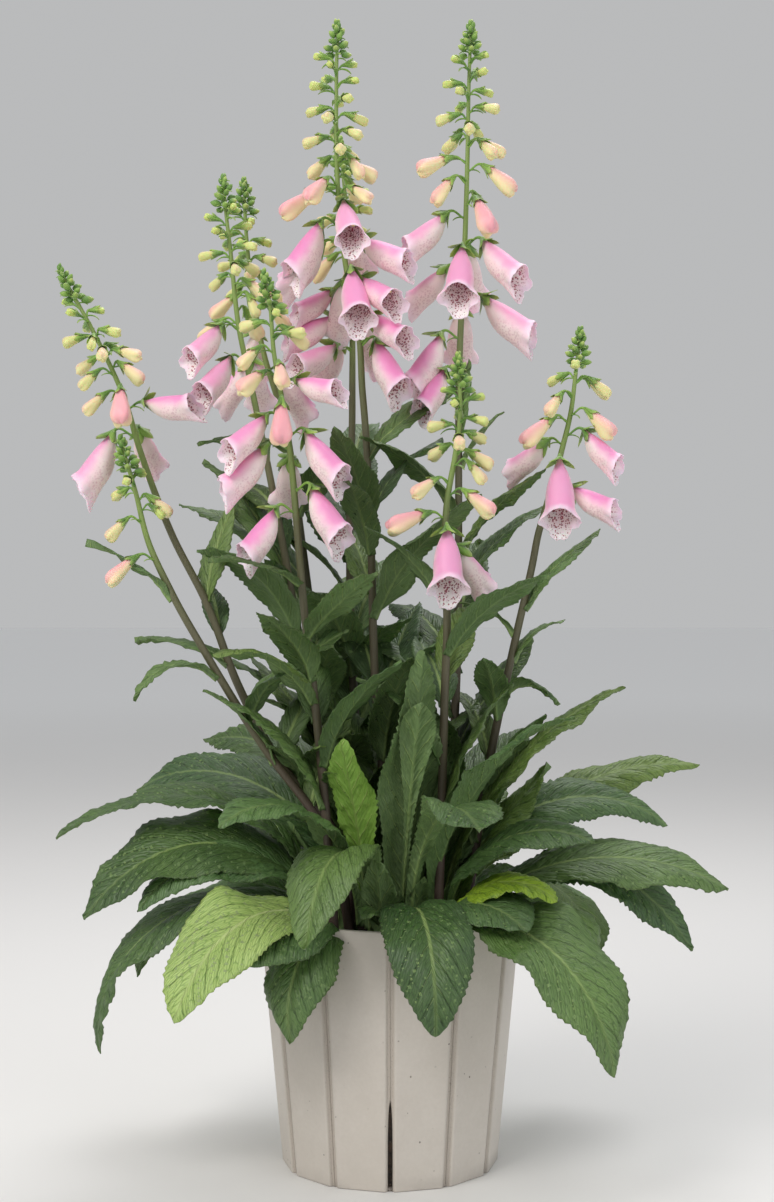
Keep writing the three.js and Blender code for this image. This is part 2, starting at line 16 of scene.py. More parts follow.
import bpy
import numpy as np
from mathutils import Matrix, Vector

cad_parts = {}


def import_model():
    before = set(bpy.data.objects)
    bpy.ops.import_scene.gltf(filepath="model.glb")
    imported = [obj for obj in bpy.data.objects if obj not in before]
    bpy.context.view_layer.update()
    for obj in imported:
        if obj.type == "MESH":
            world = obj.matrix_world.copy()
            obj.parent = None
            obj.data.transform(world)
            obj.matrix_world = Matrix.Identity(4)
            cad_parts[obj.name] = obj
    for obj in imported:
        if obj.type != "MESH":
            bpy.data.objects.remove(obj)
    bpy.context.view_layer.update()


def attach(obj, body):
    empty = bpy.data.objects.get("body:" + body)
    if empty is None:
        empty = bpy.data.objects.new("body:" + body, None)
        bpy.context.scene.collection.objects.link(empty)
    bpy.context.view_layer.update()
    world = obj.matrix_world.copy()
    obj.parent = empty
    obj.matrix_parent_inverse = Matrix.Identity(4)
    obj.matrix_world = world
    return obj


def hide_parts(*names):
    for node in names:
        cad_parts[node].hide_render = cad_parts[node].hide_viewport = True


LOG = logging.getLogger("foxglove")
BODY = "root"
TAU = 2 * math.pi
GOLDEN_TURN = 137.5  # degrees between one leaf or bud and the next
SOIL_TOP = 0.195
STEEP = 0.8  # rise for each unit of length from which a tube's frame starts from the x axis
SLACK = 1e-9  # what two equal numbers may differ by

Array = np.ndarray
Rng = np.random.Generator
Socket = bpy.types.NodeSocket
Material = bpy.types.Material
Pair = tuple[float, float]
Triple = tuple[float, float, float]
Colour = Triple
Floats = tuple[float, ...]
Knots = tuple[Pair, ...]


# ---- Directions, curves and unevenness ----


def direction(side: float | Array, lift: float | Array) -> Array:
    """Unit vectors by compass side and lift above level.

    The level part is the cosine and sine of the side, times the lift's cosine; the rise is the lift's sine.

    Args:
        side: Degrees, 0 to the right and -90 to the front.
        lift: Degrees above level.

    Returns:
        An array whose last axis is x, y, z.
    """
    a, b = np.broadcast_arrays(np.radians(side), np.radians(lift))
    return np.stack([np.cos(a) * np.cos(b), np.sin(a) * np.cos(b), np.sin(b)], axis=-1)


def unit(vectors: Array) -> Array:
    """Vectors divided by their lengths."""
    return vectors / np.maximum(np.linalg.norm(vectors, axis=-1, keepdims=True), SLACK)


def eased(values: Array, low: float, high: float) -> Array:
    """A smooth step: 0 up to low, 1 from high on, and t*t*(3 - 2t) between."""
    t = np.clip((values - low) / (high - low), 0, 1)
    return t * t * (3 - 2 * t)


def bump(values: Array, middle: float, half: float, flatness: float = 4.0) -> Array:
    """A smooth bump of height 1: e to the minus (distance from the middle / half) to the flatness."""
    return np.exp(-(((values - middle) / half) ** 2) ** (flatness / 2))


def profile(at: Array, knots: Knots) -> Array:
    """A smooth profile through knots: a cubic between each two, with the slopes that its neighbours give.

    Args:
        at: Where to read the profile.
        knots: Pairs of place and value, in order.

    Returns:
        The values, of the same shape as at.
    """
    places, values = np.array(knots, float).T
    slopes = np.gradient(values, places)
    return hermite(at, places, values[:, None], slopes[:, None])[..., 0]


def hermite(at: Array, places: Array, values: Array, slopes: Array) -> Array:
    """Cubic Hermite interpolation: each span blends its two ends' values and slopes.

    Args:
        at: Where to read the curve.
        places: Rising knots.
        values: One row of numbers for each knot.
        slopes: Their rates of change at the knots.

    Returns:
        One row of numbers for each place asked for.
    """
    at = np.asarray(at, float)
    span = np.clip(np.searchsorted(places, at) - 1, 0, len(places) - 2)
    width = (places[span + 1] - places[span])[..., None]
    t = np.clip((at - places[span])[..., None] / width, 0, 1)
    low, high = values[span], values[span + 1]
    rise = (2 * t - 3) * t * t
    bends = (t - 1) * t * width * ((t - 1) * slopes[span] + t * slopes[span + 1])
    return low + (low - high) * rise + bends


def lumps(x: Array, y: Array, size: float, rng: Rng) -> Array:
    """Even unevenness between about -1 and 1: the mean of sine waves that cross at random, times a gain.

    Args:
        x: First coordinate of each place.
        y: Second coordinate of each place.
        size: About how long each wave is.
        rng: Gives the waves' turns, phases and lengths.

    Returns:
        The unevenness at each place.
    """
    waves, gain = 7, 1.6
    total = np.zeros(np.broadcast(x, y).shape)
    for _ in range(waves):
        turn, phase, stretch = rng.uniform(0, TAU), rng.uniform(0, TAU), rng.uniform(0.7, 1.4)
        pace = TAU / (size * stretch)
        total = total + np.sin((x * math.cos(turn) + y * math.sin(turn)) * pace + phase)
    return total * gain / waves


# ---- Skins: closed surfaces gathered into one mesh ----


@dataclass
class Skin:
    """Closed tubes of rings, gathered into one mesh with a number for each finish value at each vertex."""

    points: list[Array] = field(default_factory=list)
    quads: list[Array] = field(default_factory=list)
    triangles: list[Array] = field(default_factory=list)
    values: dict[str, list[Array]] = field(default_factory=dict)
    count: int = 0

    def add(self, rings: Array, **values: Array | float) -> None:
        """Adds tubes that are closed by a pole at each end.

        The columns run anticlockwise as seen from the last ring, so that the faces point outwards.

        Args:
            rings: (copies, rows, columns, 3) or, for one tube, (rows, columns, 3).
            values: Named numbers that broadcast to (copies, rows, columns).
        """
        rings = rings[None] if rings.ndim == 3 else rings
        copies, rows, columns, _ = rings.shape
        each = rows * columns + 2
        poles = rings[:, [0, -1]].mean(axis=2)
        self.points.append(np.concatenate([rings.reshape(copies, -1, 3), poles], axis=1).reshape(-1, 3))
        first = self.count + np.arange(copies)[:, None, None] * each
        here = first + np.arange(rows * columns).reshape(rows, columns)
        beside = np.roll(here, -1, axis=2)
        quads = np.stack([here[:, :-1], beside[:, :-1], beside[:, 1:], here[:, 1:]], axis=-1)
        self.quads.append(quads.reshape(-1, 4))
        start = np.broadcast_to(first[:, 0] + each - 2, (copies, columns))
        end = start + 1
        self.triangles.append(np.stack([start, beside[:, 0], here[:, 0]], axis=-1).reshape(-1, 3))
        self.triangles.append(np.stack([end, here[:, -1], beside[:, -1]], axis=-1).reshape(-1, 3))
        for name, number in values.items():
            full = np.broadcast_to(number, (copies, rows, columns)).astype(float)
            ends = full[:, [0, -1]].mean(axis=2)
            flat = np.concatenate([full.reshape(copies, -1), ends], axis=1).ravel()
            self.values.setdefault(name, []).append(flat)
        self.count += copies * each

    def build(self, name: str, material: Material) -> bpy.types.Object:
        """Puts the gathered surfaces into one smooth-shaded mesh object.

        Args:
            name: The piece's name.
            material: The finish it wears.

        Returns:
            The object, linked to the scene and riding on the one body.
        """
        points = np.concatenate(self.points)
        quads = np.concatenate(self.quads)
        triangles = np.concatenate(self.triangles)
        mesh = bpy.data.meshes.new(name)
        mesh.vertices.add(len(points))
        mesh.vertices.foreach_set("co", points.astype(np.float32).ravel())
        corners = np.concatenate([quads.ravel(), triangles.ravel()]).astype(np.int32)
        totals = np.concatenate([np.full(len(quads), 4), np.full(len(triangles), 3)]).astype(np.int32)
        starts = (np.cumsum(totals) - totals).astype(np.int32)
        mesh.loops.add(len(corners))
        mesh.loops.foreach_set("vertex_index", corners)
        mesh.polygons.add(len(totals))
        mesh.polygons.foreach_set("loop_start", starts)
        mesh.polygons.foreach_set("loop_total", totals)
        mesh.polygons.foreach_set("use_smooth", np.ones(len(totals), bool))
        for value, numbers in self.values.items():
            store = mesh.attributes.new(value, "FLOAT", "POINT")
            store.data.foreach_set("value", np.concatenate(numbers).astype(np.float32))
        mesh.update(calc_edges=True)
        mesh.materials.append(material)
        piece = bpy.data.objects.new(name, mesh)
        bpy.context.scene.collection.objects.link(piece)
        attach(piece, BODY)
        LOG.info("%s: %d faces", name, len(totals))
        return piece


def swept(paths: Array, radii: Array, sides: int) -> Array:
    """Round tubes along paths: at each point a circle square to the path, in a frame carried on from level.

    Args:
        paths: (copies, rows, 3) points.
        radii: Radii that broadcast to (copies, rows).
        sides: Corners of each ring.

    Returns:
        (copies, rows, sides, 3) rings.
    """
    along = unit(np.gradient(paths, axis=1))
    steady = np.where(np.abs(along[:, :1, 2:]) > STEEP, [[[1.0, 0, 0]]], [[[0, 0, 1.0]]])
    across = unit(np.cross(steady, along))
    above = np.cross(along, across)
    turn = np.arange(sides) * TAU / sides
    radii = np.broadcast_to(radii, paths.shape[:2])[..., None, None]
    ring = across[:, :, None] * np.cos(turn)[:, None] + above[:, :, None] * np.sin(turn)[:, None]
    return paths[:, :, None] + ring * radii


def bent(start: Array, first: Array, second: Array, end: Array, rows: int) -> Array:
    """Paths that leave one place towards a second and reach the last from a third: cubic Bezier curves.

    Args:
        start: (copies, 3) where each path starts.
        first: The places that the paths leave towards.
        second: The places that they come to their ends from.
        end: Where they end.
        rows: Points on each path.

    Returns:
        (copies, rows, 3) points.
    """
    t = np.linspace(0, 1, rows)[:, None]
    terms = ((1 - t) ** 3, 3 * t * (1 - t) ** 2, 3 * t * t * (1 - t), t**3)
    return sum(p[:, None] * w for p, w in zip((start, first, second, end), terms))


# ---- Shader trees ----


def operator(operation: str, reflected: bool = False) -> Callable[[Value, Number], Value]:
    """Makes a method of Value that adds a Math node.

    Args:
        operation: The node's operation.
        reflected: Whether the other number goes first.

    Returns:
        The method.
    """

    def apply(self: Value, other: Number) -> Value:
        """Adds the node."""
        return self.tree.math(operation, *((other, self) if reflected else (self, other)))

    return apply


@dataclass(frozen=True)
class Value:
    """A number socket that takes part in Python arithmetic: each operator adds its Math node."""

    tree: Tree
    socket: Socket

    __add__ = __radd__ = operator("ADD")
    __sub__ = operator("SUBTRACT")
    __rsub__ = operator("SUBTRACT", reflected=True)
    __mul__ = __rmul__ = operator("MULTIPLY")
    __pow__ = operator("POWER")


Number = Value | float | int


class Tree:
    """The nodes of one finish."""

    def __init__(self, name: str) -> None:
        """Starts a material with an empty tree."""
        self.material = bpy.data.materials.new(name)
        self.material.use_nodes = True
        self.nodes = self.material.node_tree.nodes
        self.links = self.material.node_tree.links
        self.nodes.clear()

    def node(self, kind: str, settings: dict | None = None, inputs: dict | None = None) -> bpy.types.Node:
        """Adds a node.

        Args:
            kind: The node's type, without its ShaderNode prefix.
            settings: Attributes of the node, set before its sockets.
            inputs: Socket name or index to a value, a Value or an output socket.

        Returns:
            The node.
        """
        made = self.nodes.new(f"ShaderNode{kind}")
        for name, setting in (settings or {}).items():
            setattr(made, name, setting)
        for name, value in (inputs or {}).items():
            self._feed(made.inputs[name], value)
        return made

    def _feed(self, socket: Socket, value: object) -> None:
        """Links a socket to a Value or an output, or sets its constant."""
        if isinstance(value, Value):
            self.links.new(value.socket, socket)
        elif isinstance(value, Socket):
            self.links.new(value, socket)
        elif isinstance(value, tuple) and len(value) == 3 and socket.type == "RGBA":
            socket.default_value = (*value, 1.0)
        else:
            socket.default_value = value

    def math(self, operation: str, *numbers: Number) -> Value:
        """A Math node on one to three numbers."""
        made = self.node("Math", {"operation": operation}, dict(enumerate(numbers)))
        return Value(self, made.outputs[0])

    def step(self, number: Number, low: float, high: float) -> Value:
        """A smooth step: 0 at low and 1 at high, which may be the smaller."""
        ends = {"Value": number, "From Min": low, "From Max": high}
        made = self.node("MapRange", {"interpolation_type": "SMOOTHSTEP"}, ends)
        return Value(self, made.outputs[0])

    def attribute(self, name: str) -> Value:
        """A value that the mesh carries at its vertices."""
        return Value(self, self.node("Attribute", {"attribute_name": name}).outputs["Fac"])

    def place(self) -> Socket:
        """The piece's own coordinates, in metres."""
        return self.node("TexCoord").outputs["Object"]

    def joined(self, x: Number, y: Number, z: Number) -> Socket:
        """A vector of three numbers."""
        return self.node("CombineXYZ", None, {0: x, 1: y, 2: z}).outputs[0]

    def noise(self, at: Socket, size: float, detail: float = 3.0, rough: float = 0.5) -> Value:
        """Soft noise about 0.5, with features of the given size."""
        inputs = {"Vector": at, "Scale": 1 / size, "Detail": detail, "Roughness": rough}
        return Value(self, self.node("TexNoise", {"noise_dimensions": "3D"}, inputs).outputs["Fac"])

    def cells(self, at: Socket, size: float, feature: str = "F1", space: str = "3D") -> Value:
        """Distance to the middle of the nearest cell, or to its edge, in cells of the given size."""
        settings = {"feature": feature, "voronoi_dimensions": space}
        made = self.node("TexVoronoi", settings, {"Vector": at, "Scale": 1 / size})
        return Value(self, made.outputs["Distance"])

    def mix(self, factor: Number, first: object, second: object) -> Socket:
        """A colour between two colours."""
        inputs = {0: factor, 6: first, 7: second}
        return self.node("Mix", {"data_type": "RGBA"}, inputs).outputs[2]

    def tint(self, factor: Number, first: object, second: object) -> Socket:
        """The first colour multiplied by the second, by a share."""
        settings = {"data_type": "RGBA", "blend_type": "MULTIPLY"}
        return self.node("Mix", settings, {0: factor, 6: first, 7: second}).outputs[2]

    def bump(self, height: Number, distance: float, strength: float = 1.0) -> Socket:
        """A normal that follows a height, whose unit stands the given distance proud."""
        inputs = {"Height": height, "Distance": distance, "Strength": strength}
        return self.node("Bump", None, inputs).outputs["Normal"]

    def finish(self, **sockets: object) -> Material:
        """Ends the tree in a Principled surface, with its sockets named with underscores for spaces."""
        inputs = {name.replace("_", " "): value for name, value in sockets.items()}
        surface = self.node("BsdfPrincipled", None, inputs)
        self.node("OutputMaterial", None, {"Surface": surface.outputs[0]})
        return self.material


# ---- Finishes ----


def under_skin(weight: float, reach: Colour) -> dict[str, object]:
    """The sockets of light that spreads under a skin: its weight, and how far red, green and blue reach."""
    return {"Subsurface_Weight": weight, "Subsurface_Radius": reach, "Subsurface_Scale": 1.0}


@dataclass(frozen=True)
class LeafFinish:
    """A pebbled leaf: sunken side veins painted darker with shade away from a pale midrib, painted shade in
    the creases, and a paler, ribbed underside.

    A pair of widths is half a vein's width where it starts to show, and where it is full.
    """

    name: str
    deep: Colour
    fresh: Colour
    vein: Colour
    under: Colour
    cool: Colour = (0.9, 1.00, 1.25)  # this and the next six are multiplied in
    warm: Colour = (1.35, 1.12, 0.74)
    # the next two are painted shade: in the creases and furrows, and along the sunken veins
    crease_shade: Colour = (0.4, 0.5, 0.34)
    veined: Colour = (0.5, 0.58, 0.42)
    margin: Colour = (0.7, 0.66, 0.5)
    under_patch: Colour = (0.7, 0.82, 0.52)
    under_dull: Colour = (0.62, 0.72, 0.62)
    vein_pace: float = 0.022  # between side veins
    vein_width: Pair = (0.0013, 0.0003)
    thin_width: Pair = (0.001, 0.0002)
    midrib_width: Pair = (0.002, 0.0007)
    furrow: float = 0.004  # how far the painted shade reaches beside each side vein
    pebble: float = 0.0034
    wander: float = 0.012  # length of the veins' wavering
    patch: float = 0.045
    down: float = 0.0006
    relief: float = 0.0011

    def make(self) -> Material:
        """Builds the material.

        It reads across and along in metres from the leaf's base, edge (0 on the midrib, 1 at the margin),
        share of the length, face (1 above, -1 below), tone, and vein, which counts the side veins.
        """
        tree = Tree(self.name)
        names = ("across", "along", "edge", "share", "face", "tone")
        across, along, edge, share, face, tone = map(tree.attribute, names)
        away = tree.math("ABSOLUTE", across)
        wander = tree.noise(tree.joined(across, along, tone * 3), self.wander, 2.0) - 0.5

        # Veins: the side veins, a thin one between each two, and the midrib.
        count = tree.attribute("vein") + wander * 0.22
        beat = tree.math("FRACT", count)
        near = tree.math("MINIMUM", beat, 1 - beat) * self.vein_pace
        side_vein = tree.step(near, *self.vein_width) * tree.step(edge, 0.98, 0.6)
        side_vein = side_vein * tree.step(share, 0.1, 0.2)
        furrow = tree.step(near, self.furrow, 0.0)
        half_beat = tree.math("FRACT", count * 2)
        thin = tree.math("MINIMUM", half_beat, 1 - half_beat) * (self.vein_pace / 2)
        thin_vein = tree.step(thin, *self.thin_width) * tree.step(edge, 0.95, 0.4) * 0.5
        midrib = tree.step(away, *self.midrib_width) * tree.step(share, 1.25, 0.1)

        # Pebbles: cells drawn out along the side veins, domed, with a crease round each.
        slanted = tree.attribute("vein") * (self.vein_pace * 0.8)
        shifted = tree.joined(across * 0.75 + wander * 0.003, slanted + wander * 0.002, 0.0)
        net = tree.cells(shifted, self.pebble, "DISTANCE_TO_EDGE", "2D")
        crease = tree.step(net, 0.16, 0.0) * tree.step(away, 0.001, 0.004)
        dome = 1 - tree.cells(shifted, self.pebble, "F1", "2D") ** 2 * 1.6

        # The upper face.
        on_top = tree.step(face, -0.2, 0.2)
        patch = tree.noise(tree.place(), self.patch, 4.0, 0.6)
        body = tree.mix(tree.step(patch * 0.6 + tone * 0.55, 0.2, 0.85), self.deep, self.fresh)
        kind = tree.math("FRACT", tone * 5.3)
        body = tree.tint(tree.step(kind, 0.55, 1.0) * 0.6, body, self.cool)
        body = tree.tint(tree.step(kind, 0.45, 0.0) * 0.7, body, self.warm)
        # Painted shade in the creases round the pebbles, in the furrows beside the side veins and along the
        # sunken veins.
        body = tree.tint(crease * 0.75 + furrow * 0.25, body, self.crease_shade)
        vein_shade_mask = tree.math("MAXIMUM", side_vein, thin_vein) * tree.step(edge, 0.05, 0.45)
        body = tree.tint(vein_shade_mask * 0.5, body, self.veined)
        body = tree.mix(side_vein * tree.step(edge, 0.4, 0.02) * 0.3, body, self.vein)
        body = tree.mix(midrib * 0.85, body, self.vein)
        body = tree.tint(tree.step(edge, 0.95, 1.0) * 0.5, body, self.margin)

        # The underside.
        below = tree.mix(side_vein * 0.55 + midrib * 0.5 + crease * 0.2, self.under, self.vein)
        below = tree.tint(tree.step(patch, 0.35, 0.75) * 0.45, below, self.under_patch)
        below = tree.tint(tree.step(kind, 0.4, 1.0) * 0.5, below, self.under_dull)
        colour = tree.mix(on_top, below, body)

        down = tree.noise(tree.place(), self.down, 1.0)
        signed = on_top * 2 - 1
        relief = (dome * 0.45 - side_vein * 0.5 - thin_vein * 0.4 - midrib * 0.4) * signed + down * 0.12
        return tree.finish(
            Base_Color=colour,
            Roughness=0.41 + patch * 0.1 + (1 - on_top) * 0.16 + down * 0.05,
            Normal=tree.bump(relief, self.relief, 1.0),
            Specular_IOR_Level=0.5,
            **under_skin(0.06, (0.0012, 0.0022, 0.0005)),
        )


@dataclass(frozen=True)
class StemFinish:
    """A round downy stem: purple-brown at the foot, olive in the middle and fresh green in the spike."""

    name: str = "stem_skin"
    foot: Colour = (0.068, 0.038, 0.036)
    middle: Colour = (0.105, 0.098, 0.052)
    fresh: Colour = (0.2, 0.29, 0.07)
    streaked: Colour = (0.62, 0.6, 0.5)  # multiplied in
    downy: Colour = (0.55, 0.55, 0.46)
    drift: float = 0.03
    streak: float = 0.0012
    streak_squeeze: float = 0.08  # of the coordinates along the stem, which draws the streaks out
    down: float = 0.0005
    relief: float = 0.0003

    def make(self) -> Material:
        """Builds the material. It reads ripe: 0 at the foot, 0.5 where the spike starts and 1 at the tip."""
        tree = Tree(self.name)
        ripe = tree.attribute("ripe")
        place = tree.place()
        drift = tree.noise(place, self.drift, 3.0)
        low = tree.mix(tree.step(ripe + drift * 0.25, 0.12, 0.55), self.foot, self.middle)
        colour = tree.mix(tree.step(ripe + drift * 0.15, 0.5, 0.8), low, self.fresh)
        squeezed = tree.node("Mapping", None, {"Vector": place, "Scale": (1, 1, self.streak_squeeze)})
        streaks = tree.noise(squeezed.outputs[0], self.streak, 2.0)
        colour = tree.tint(tree.step(streaks, 0.45, 0.75) * 0.5, colour, self.streaked)
        down = tree.noise(place, self.down, 1.0)
        colour = tree.mix(tree.step(down, 0.62, 0.78) * 0.12, colour, self.downy)
        return tree.finish(
            Base_Color=colour,
            Roughness=0.46 + drift * 0.15,
            Normal=tree.bump(streaks * 0.6 + down * 0.5, self.relief, 0.8),
        )


@dataclass(frozen=True)
class GreenFinish:
    """Calyxes, stalklets, bracts and the tip's buds: fresh green that pales to yellow at the ends."""

    name: str = "calyx_skin"
    deep: Colour = (0.09, 0.215, 0.035)
    fresh: Colour = (0.215, 0.385, 0.06)
    pale: Colour = (0.56, 0.62, 0.18)
    downy: Colour = (0.62, 0.66, 0.45)
    patch: float = 0.006
    down: float = 0.0005
    relief: float = 0.0004

    def make(self) -> Material:
        """Builds the material. It reads share (0 at the base, 1 at the end), tone, and how far it pales."""
        tree = Tree(self.name)
        share, tone, pale = map(tree.attribute, ("share", "tone", "pale"))
        place = tree.place()
        patch = tree.noise(place, self.patch, 3.0)
        colour = tree.mix(tree.step(patch * 0.6 + tone * 0.5, 0.2, 0.8), self.deep, self.fresh)
        colour = tree.mix(tree.step(share, 0.45, 1.0) * pale, colour, self.pale)
        down = tree.noise(place, self.down, 1.0)
        colour = tree.mix(tree.step(down, 0.6, 0.8) * 0.25, colour, self.downy)
        return tree.finish(
            Base_Color=colour,
            Roughness=0.48 + patch * 0.12,
            Normal=tree.bump(patch * 0.5 + down * 0.4, self.relief, 0.7),
            Sheen_Weight=0.3,
            Sheen_Roughness=0.4,
            **under_skin(0.12, (0.0015, 0.0022, 0.0006)),
        )


@dataclass(frozen=True)
class PetalFinish:
    """The bells' skin: cream buds, then lilac pink, paler below and at the lip, with maroon spots inside."""

    name: str = "petal_skin"
    green: Colour = (0.3, 0.37, 0.09)
    young: Colour = (0.52, 0.62, 0.17)
    cream: Colour = (0.82, 0.73, 0.4)
    salmon: Colour = (0.83, 0.34, 0.45)
    lilac: Colour = (0.88, 0.27, 0.54)
    blush: Colour = (0.97, 0.71, 0.71)
    lip: Colour = (0.95, 0.72, 0.84)
    throat: Colour = (0.93, 0.74, 0.74)
    deep_throat: Colour = (0.64, 0.3, 0.36)
    ring: Colour = (0.95, 0.85, 0.84)
    spot: Colour = (0.27, 0.025, 0.06)
    spot_shadow: Colour = (0.52, 0.16, 0.26)  # painted shadow of a spot, seen through the wall
    spot_size: float = 0.002
    spot_drift: float = 0.004
    cloud: float = 0.01
    vein: float = 0.0016
    fuzz: float = 0.0004
    relief: float = 0.0003

    def make(self) -> Material:
        """Builds the material. It reads share of the length, upper (1 on the back), inside, stage, tone."""
        tree = Tree(self.name)
        names = ("share", "upper", "inside", "stage", "tone")
        share, upper, inside, stage, tone = map(tree.attribute, names)
        place = tree.place()
        cloud = tree.noise(place, self.cloud, 3.0)

        # Buds go from green through cream to salmon, and open bells are lilac on the back.
        pale = tree.mix(tree.step(stage, 0.08, 0.34), self.young, self.cream)
        bud = tree.mix(tree.step(share + cloud * 0.3 + stage, 0.3, 0.7), self.green, pale)
        bloom = tree.step(stage * 1.7 - share * 0.15 + upper * 0.42 + cloud * 0.15, 0.42, 1.25)
        bud = tree.mix(bloom * 0.85, bud, self.salmon)
        back = tree.mix(tree.step(upper + cloud * 0.8 - 0.4, -0.45, 0.75), self.blush, self.lilac)
        back = tree.mix(tree.step(share, 0.16, 0.02) * 0.5, back, self.cream)
        back = tree.mix(tree.step(tone, 0.2, 1.0) * 0.22, back, self.blush)
        rim = tree.step(share + cloud * 0.1, 0.84, 1.06)
        outer = tree.mix(tree.step(stage, 0.55, 0.85), bud, tree.mix(rim * 0.7, back, self.lip))

        # Spots crowd the lower inside of the throat, each within a pale ring, and their shadows are painted a
        # little outside.
        spots = tree.cells(place, self.spot_size)
        size = tree.noise(place, self.spot_drift, 1.0)
        out = tree.step(share, 0.8, 0.97)
        below = tree.step(upper, -0.45, -0.85)
        crowd = tree.step(share, 0.28, 0.45) * (1 - out * (1 - below)) * tree.step(share, 1.03, 0.95)
        spotted = tree.step(spots + size * 0.55 + out * 0.12, 0.76, 0.64) * crowd
        ring = tree.step(spots, 0.95, 0.62) * crowd
        throat = tree.mix(tree.step(share, 0.85, 0.5), self.throat, self.deep_throat)
        veil = tree.mix(out, throat, self.lip)
        inner = tree.mix(ring * 0.8, veil, self.ring)
        inner = tree.mix(spotted * 0.92, inner, self.spot)
        # painted shadows of the inside spots, on the outside of the wall
        spot_shadow_mask = spotted * tree.step(share, 0.3, 0.6) * tree.step(upper, 0.3, -0.5) * 0.3
        spot_shadow_mask = spot_shadow_mask * tree.step(stage, 0.7, 0.9)
        outer = tree.mix(spot_shadow_mask, outer, self.spot_shadow)

        colour = tree.mix(inside, outer, inner)
        veins = tree.noise(place, self.vein, 3.0)
        fuzz = tree.noise(place, self.fuzz, 1.0)
        return tree.finish(
            Base_Color=colour,
            Roughness=0.44 + veins * 0.12,
            Normal=tree.bump(veins * 0.5 + fuzz * 0.3, self.relief, 0.6),
            Sheen_Weight=0.25,
            Sheen_Roughness=0.35,
            **under_skin(0.5, (0.0026, 0.0013, 0.0017)),
        )


@dataclass(frozen=True)
class AntherFinish:
    """Stamens inside a bell: white threads with straw-yellow anthers dotted with brown."""

    name: str = "anther_skin"
    thread: Colour = (0.9, 0.86, 0.84)
    anther: Colour = (0.86, 0.7, 0.3)
    dot: Colour = (0.42, 0.16, 0.05)
    grain: float = 0.0009
    relief: float = 0.0002

    def make(self) -> Material:
        """Builds the material. It reads tone, 0 on a thread and 1 on an anther."""
        tree = Tree(self.name)
        tone, place = tree.attribute("tone"), tree.place()
        grains = tree.cells(place, self.grain)
        yellow = tree.mix(tree.step(grains, 0.35, 0.2) * 0.6, self.anther, self.dot)
        colour = tree.mix(tone, self.thread, yellow)
        rough = 0.55 + grains * 0.1
        return tree.finish(Base_Color=colour, Roughness=rough, Normal=tree.bump(grains, self.relief))


@dataclass(frozen=True)
class PotFinish:
    """Off-white moulded boards: faint grain, small dark specks of soil, and warm painted shade in each
    groove.
    """

    name: str = "pot_boards"
    board: Colour = (0.62, 0.575, 0.52)
    shade: Colour = (0.55, 0.505, 0.45)
    # painted shade: the grooves' bottoms darker and warmer than the boards
    groove: Colour = (0.43, 0.375, 0.32)
    dirt: Colour = (0.07, 0.05, 0.04)
    within: Colour = (0.115, 0.09, 0.075)
    cloud: float = 0.07
    grain: float = 0.003
    speck: float = 0.011  # between specks
    fine: float = 0.0012
    sprinkle: float = 0.045
    relief: float = 0.00035

    def make(self) -> Material:
        """Builds the material. It reads groove, 1 in a groove's bottom, share of the height, and inside."""
        tree = Tree(self.name)
        groove, height, inside = map(tree.attribute, ("groove", "share", "inside"))
        place = tree.place()
        cloud = tree.noise(place, self.cloud, 4.0, 0.6)
        grain = tree.noise(place, self.grain, 4.0)
        colour = tree.mix(tree.step(cloud * 0.8 + grain * 0.3, 0.35, 0.85), self.shade, self.board)
        # Painted shade in the grooves' bottoms.
        colour = tree.mix(groove * 0.6, colour, self.groove)
        specks = tree.cells(place, self.speck)
        fine = tree.noise(place, self.fine, 2.0)
        sprinkle = tree.step(tree.noise(place, self.sprinkle, 2.0), 0.42, 0.68)
        speck = tree.step(specks + fine * 0.12, 0.15, 0.11) * sprinkle
        # darker in patches towards the foot
        foot_patches = tree.step(height, 0.07, 0.0) * tree.step(cloud, 0.35, 0.65)
        colour = tree.mix(speck * 0.85, colour, self.dirt)
        # Darker patches towards the foot and in the grooves' bottoms, in the dirt colour.
        colour = tree.mix(foot_patches * 0.28 + groove * tree.step(fine, 0.55, 0.75) * 0.3, colour, self.dirt)
        colour = tree.mix(inside, colour, self.within)
        return tree.finish(
            Base_Color=colour,
            Roughness=0.42 + cloud * 0.16 + speck * 0.2,
            Normal=tree.bump(grain * 0.5 + fine * 0.25 + speck * 0.8, self.relief, 0.7),
            Specular_IOR_Level=0.45,
        )


@dataclass(frozen=True)
class SoilFinish:
    """Moist potting mix: near-black crumbs, brown fibres and paler grit."""

    name: str = "potting_mix"
    dark: Colour = (0.016, 0.011, 0.008)
    brown: Colour = (0.075, 0.045, 0.026)
    grit: Colour = (0.34, 0.28, 0.21)
    crumb: float = 0.0045
    mottle: float = 0.006
    relief: float = 0.002

    def make(self) -> Material:
        """Builds the material. It reads tone, which varies from crumb to crumb."""
        tree = Tree(self.name)
        tone, place = tree.attribute("tone"), tree.place()
        crumbs = tree.cells(place, self.crumb)
        mottle = tree.noise(place, self.mottle, 6.0, 0.7)
        colour = tree.mix(tree.step(mottle + tone * 0.35, 0.45, 0.85), self.dark, self.brown)
        colour = tree.mix(tree.step(crumbs, 0.16, 0.1) * tone, colour, self.grit)
        return tree.finish(
            Base_Color=colour,
            Roughness=0.82 + mottle * 0.15,
            Normal=tree.bump(crumbs * 0.8 + mottle, self.relief, 1.0),
        )


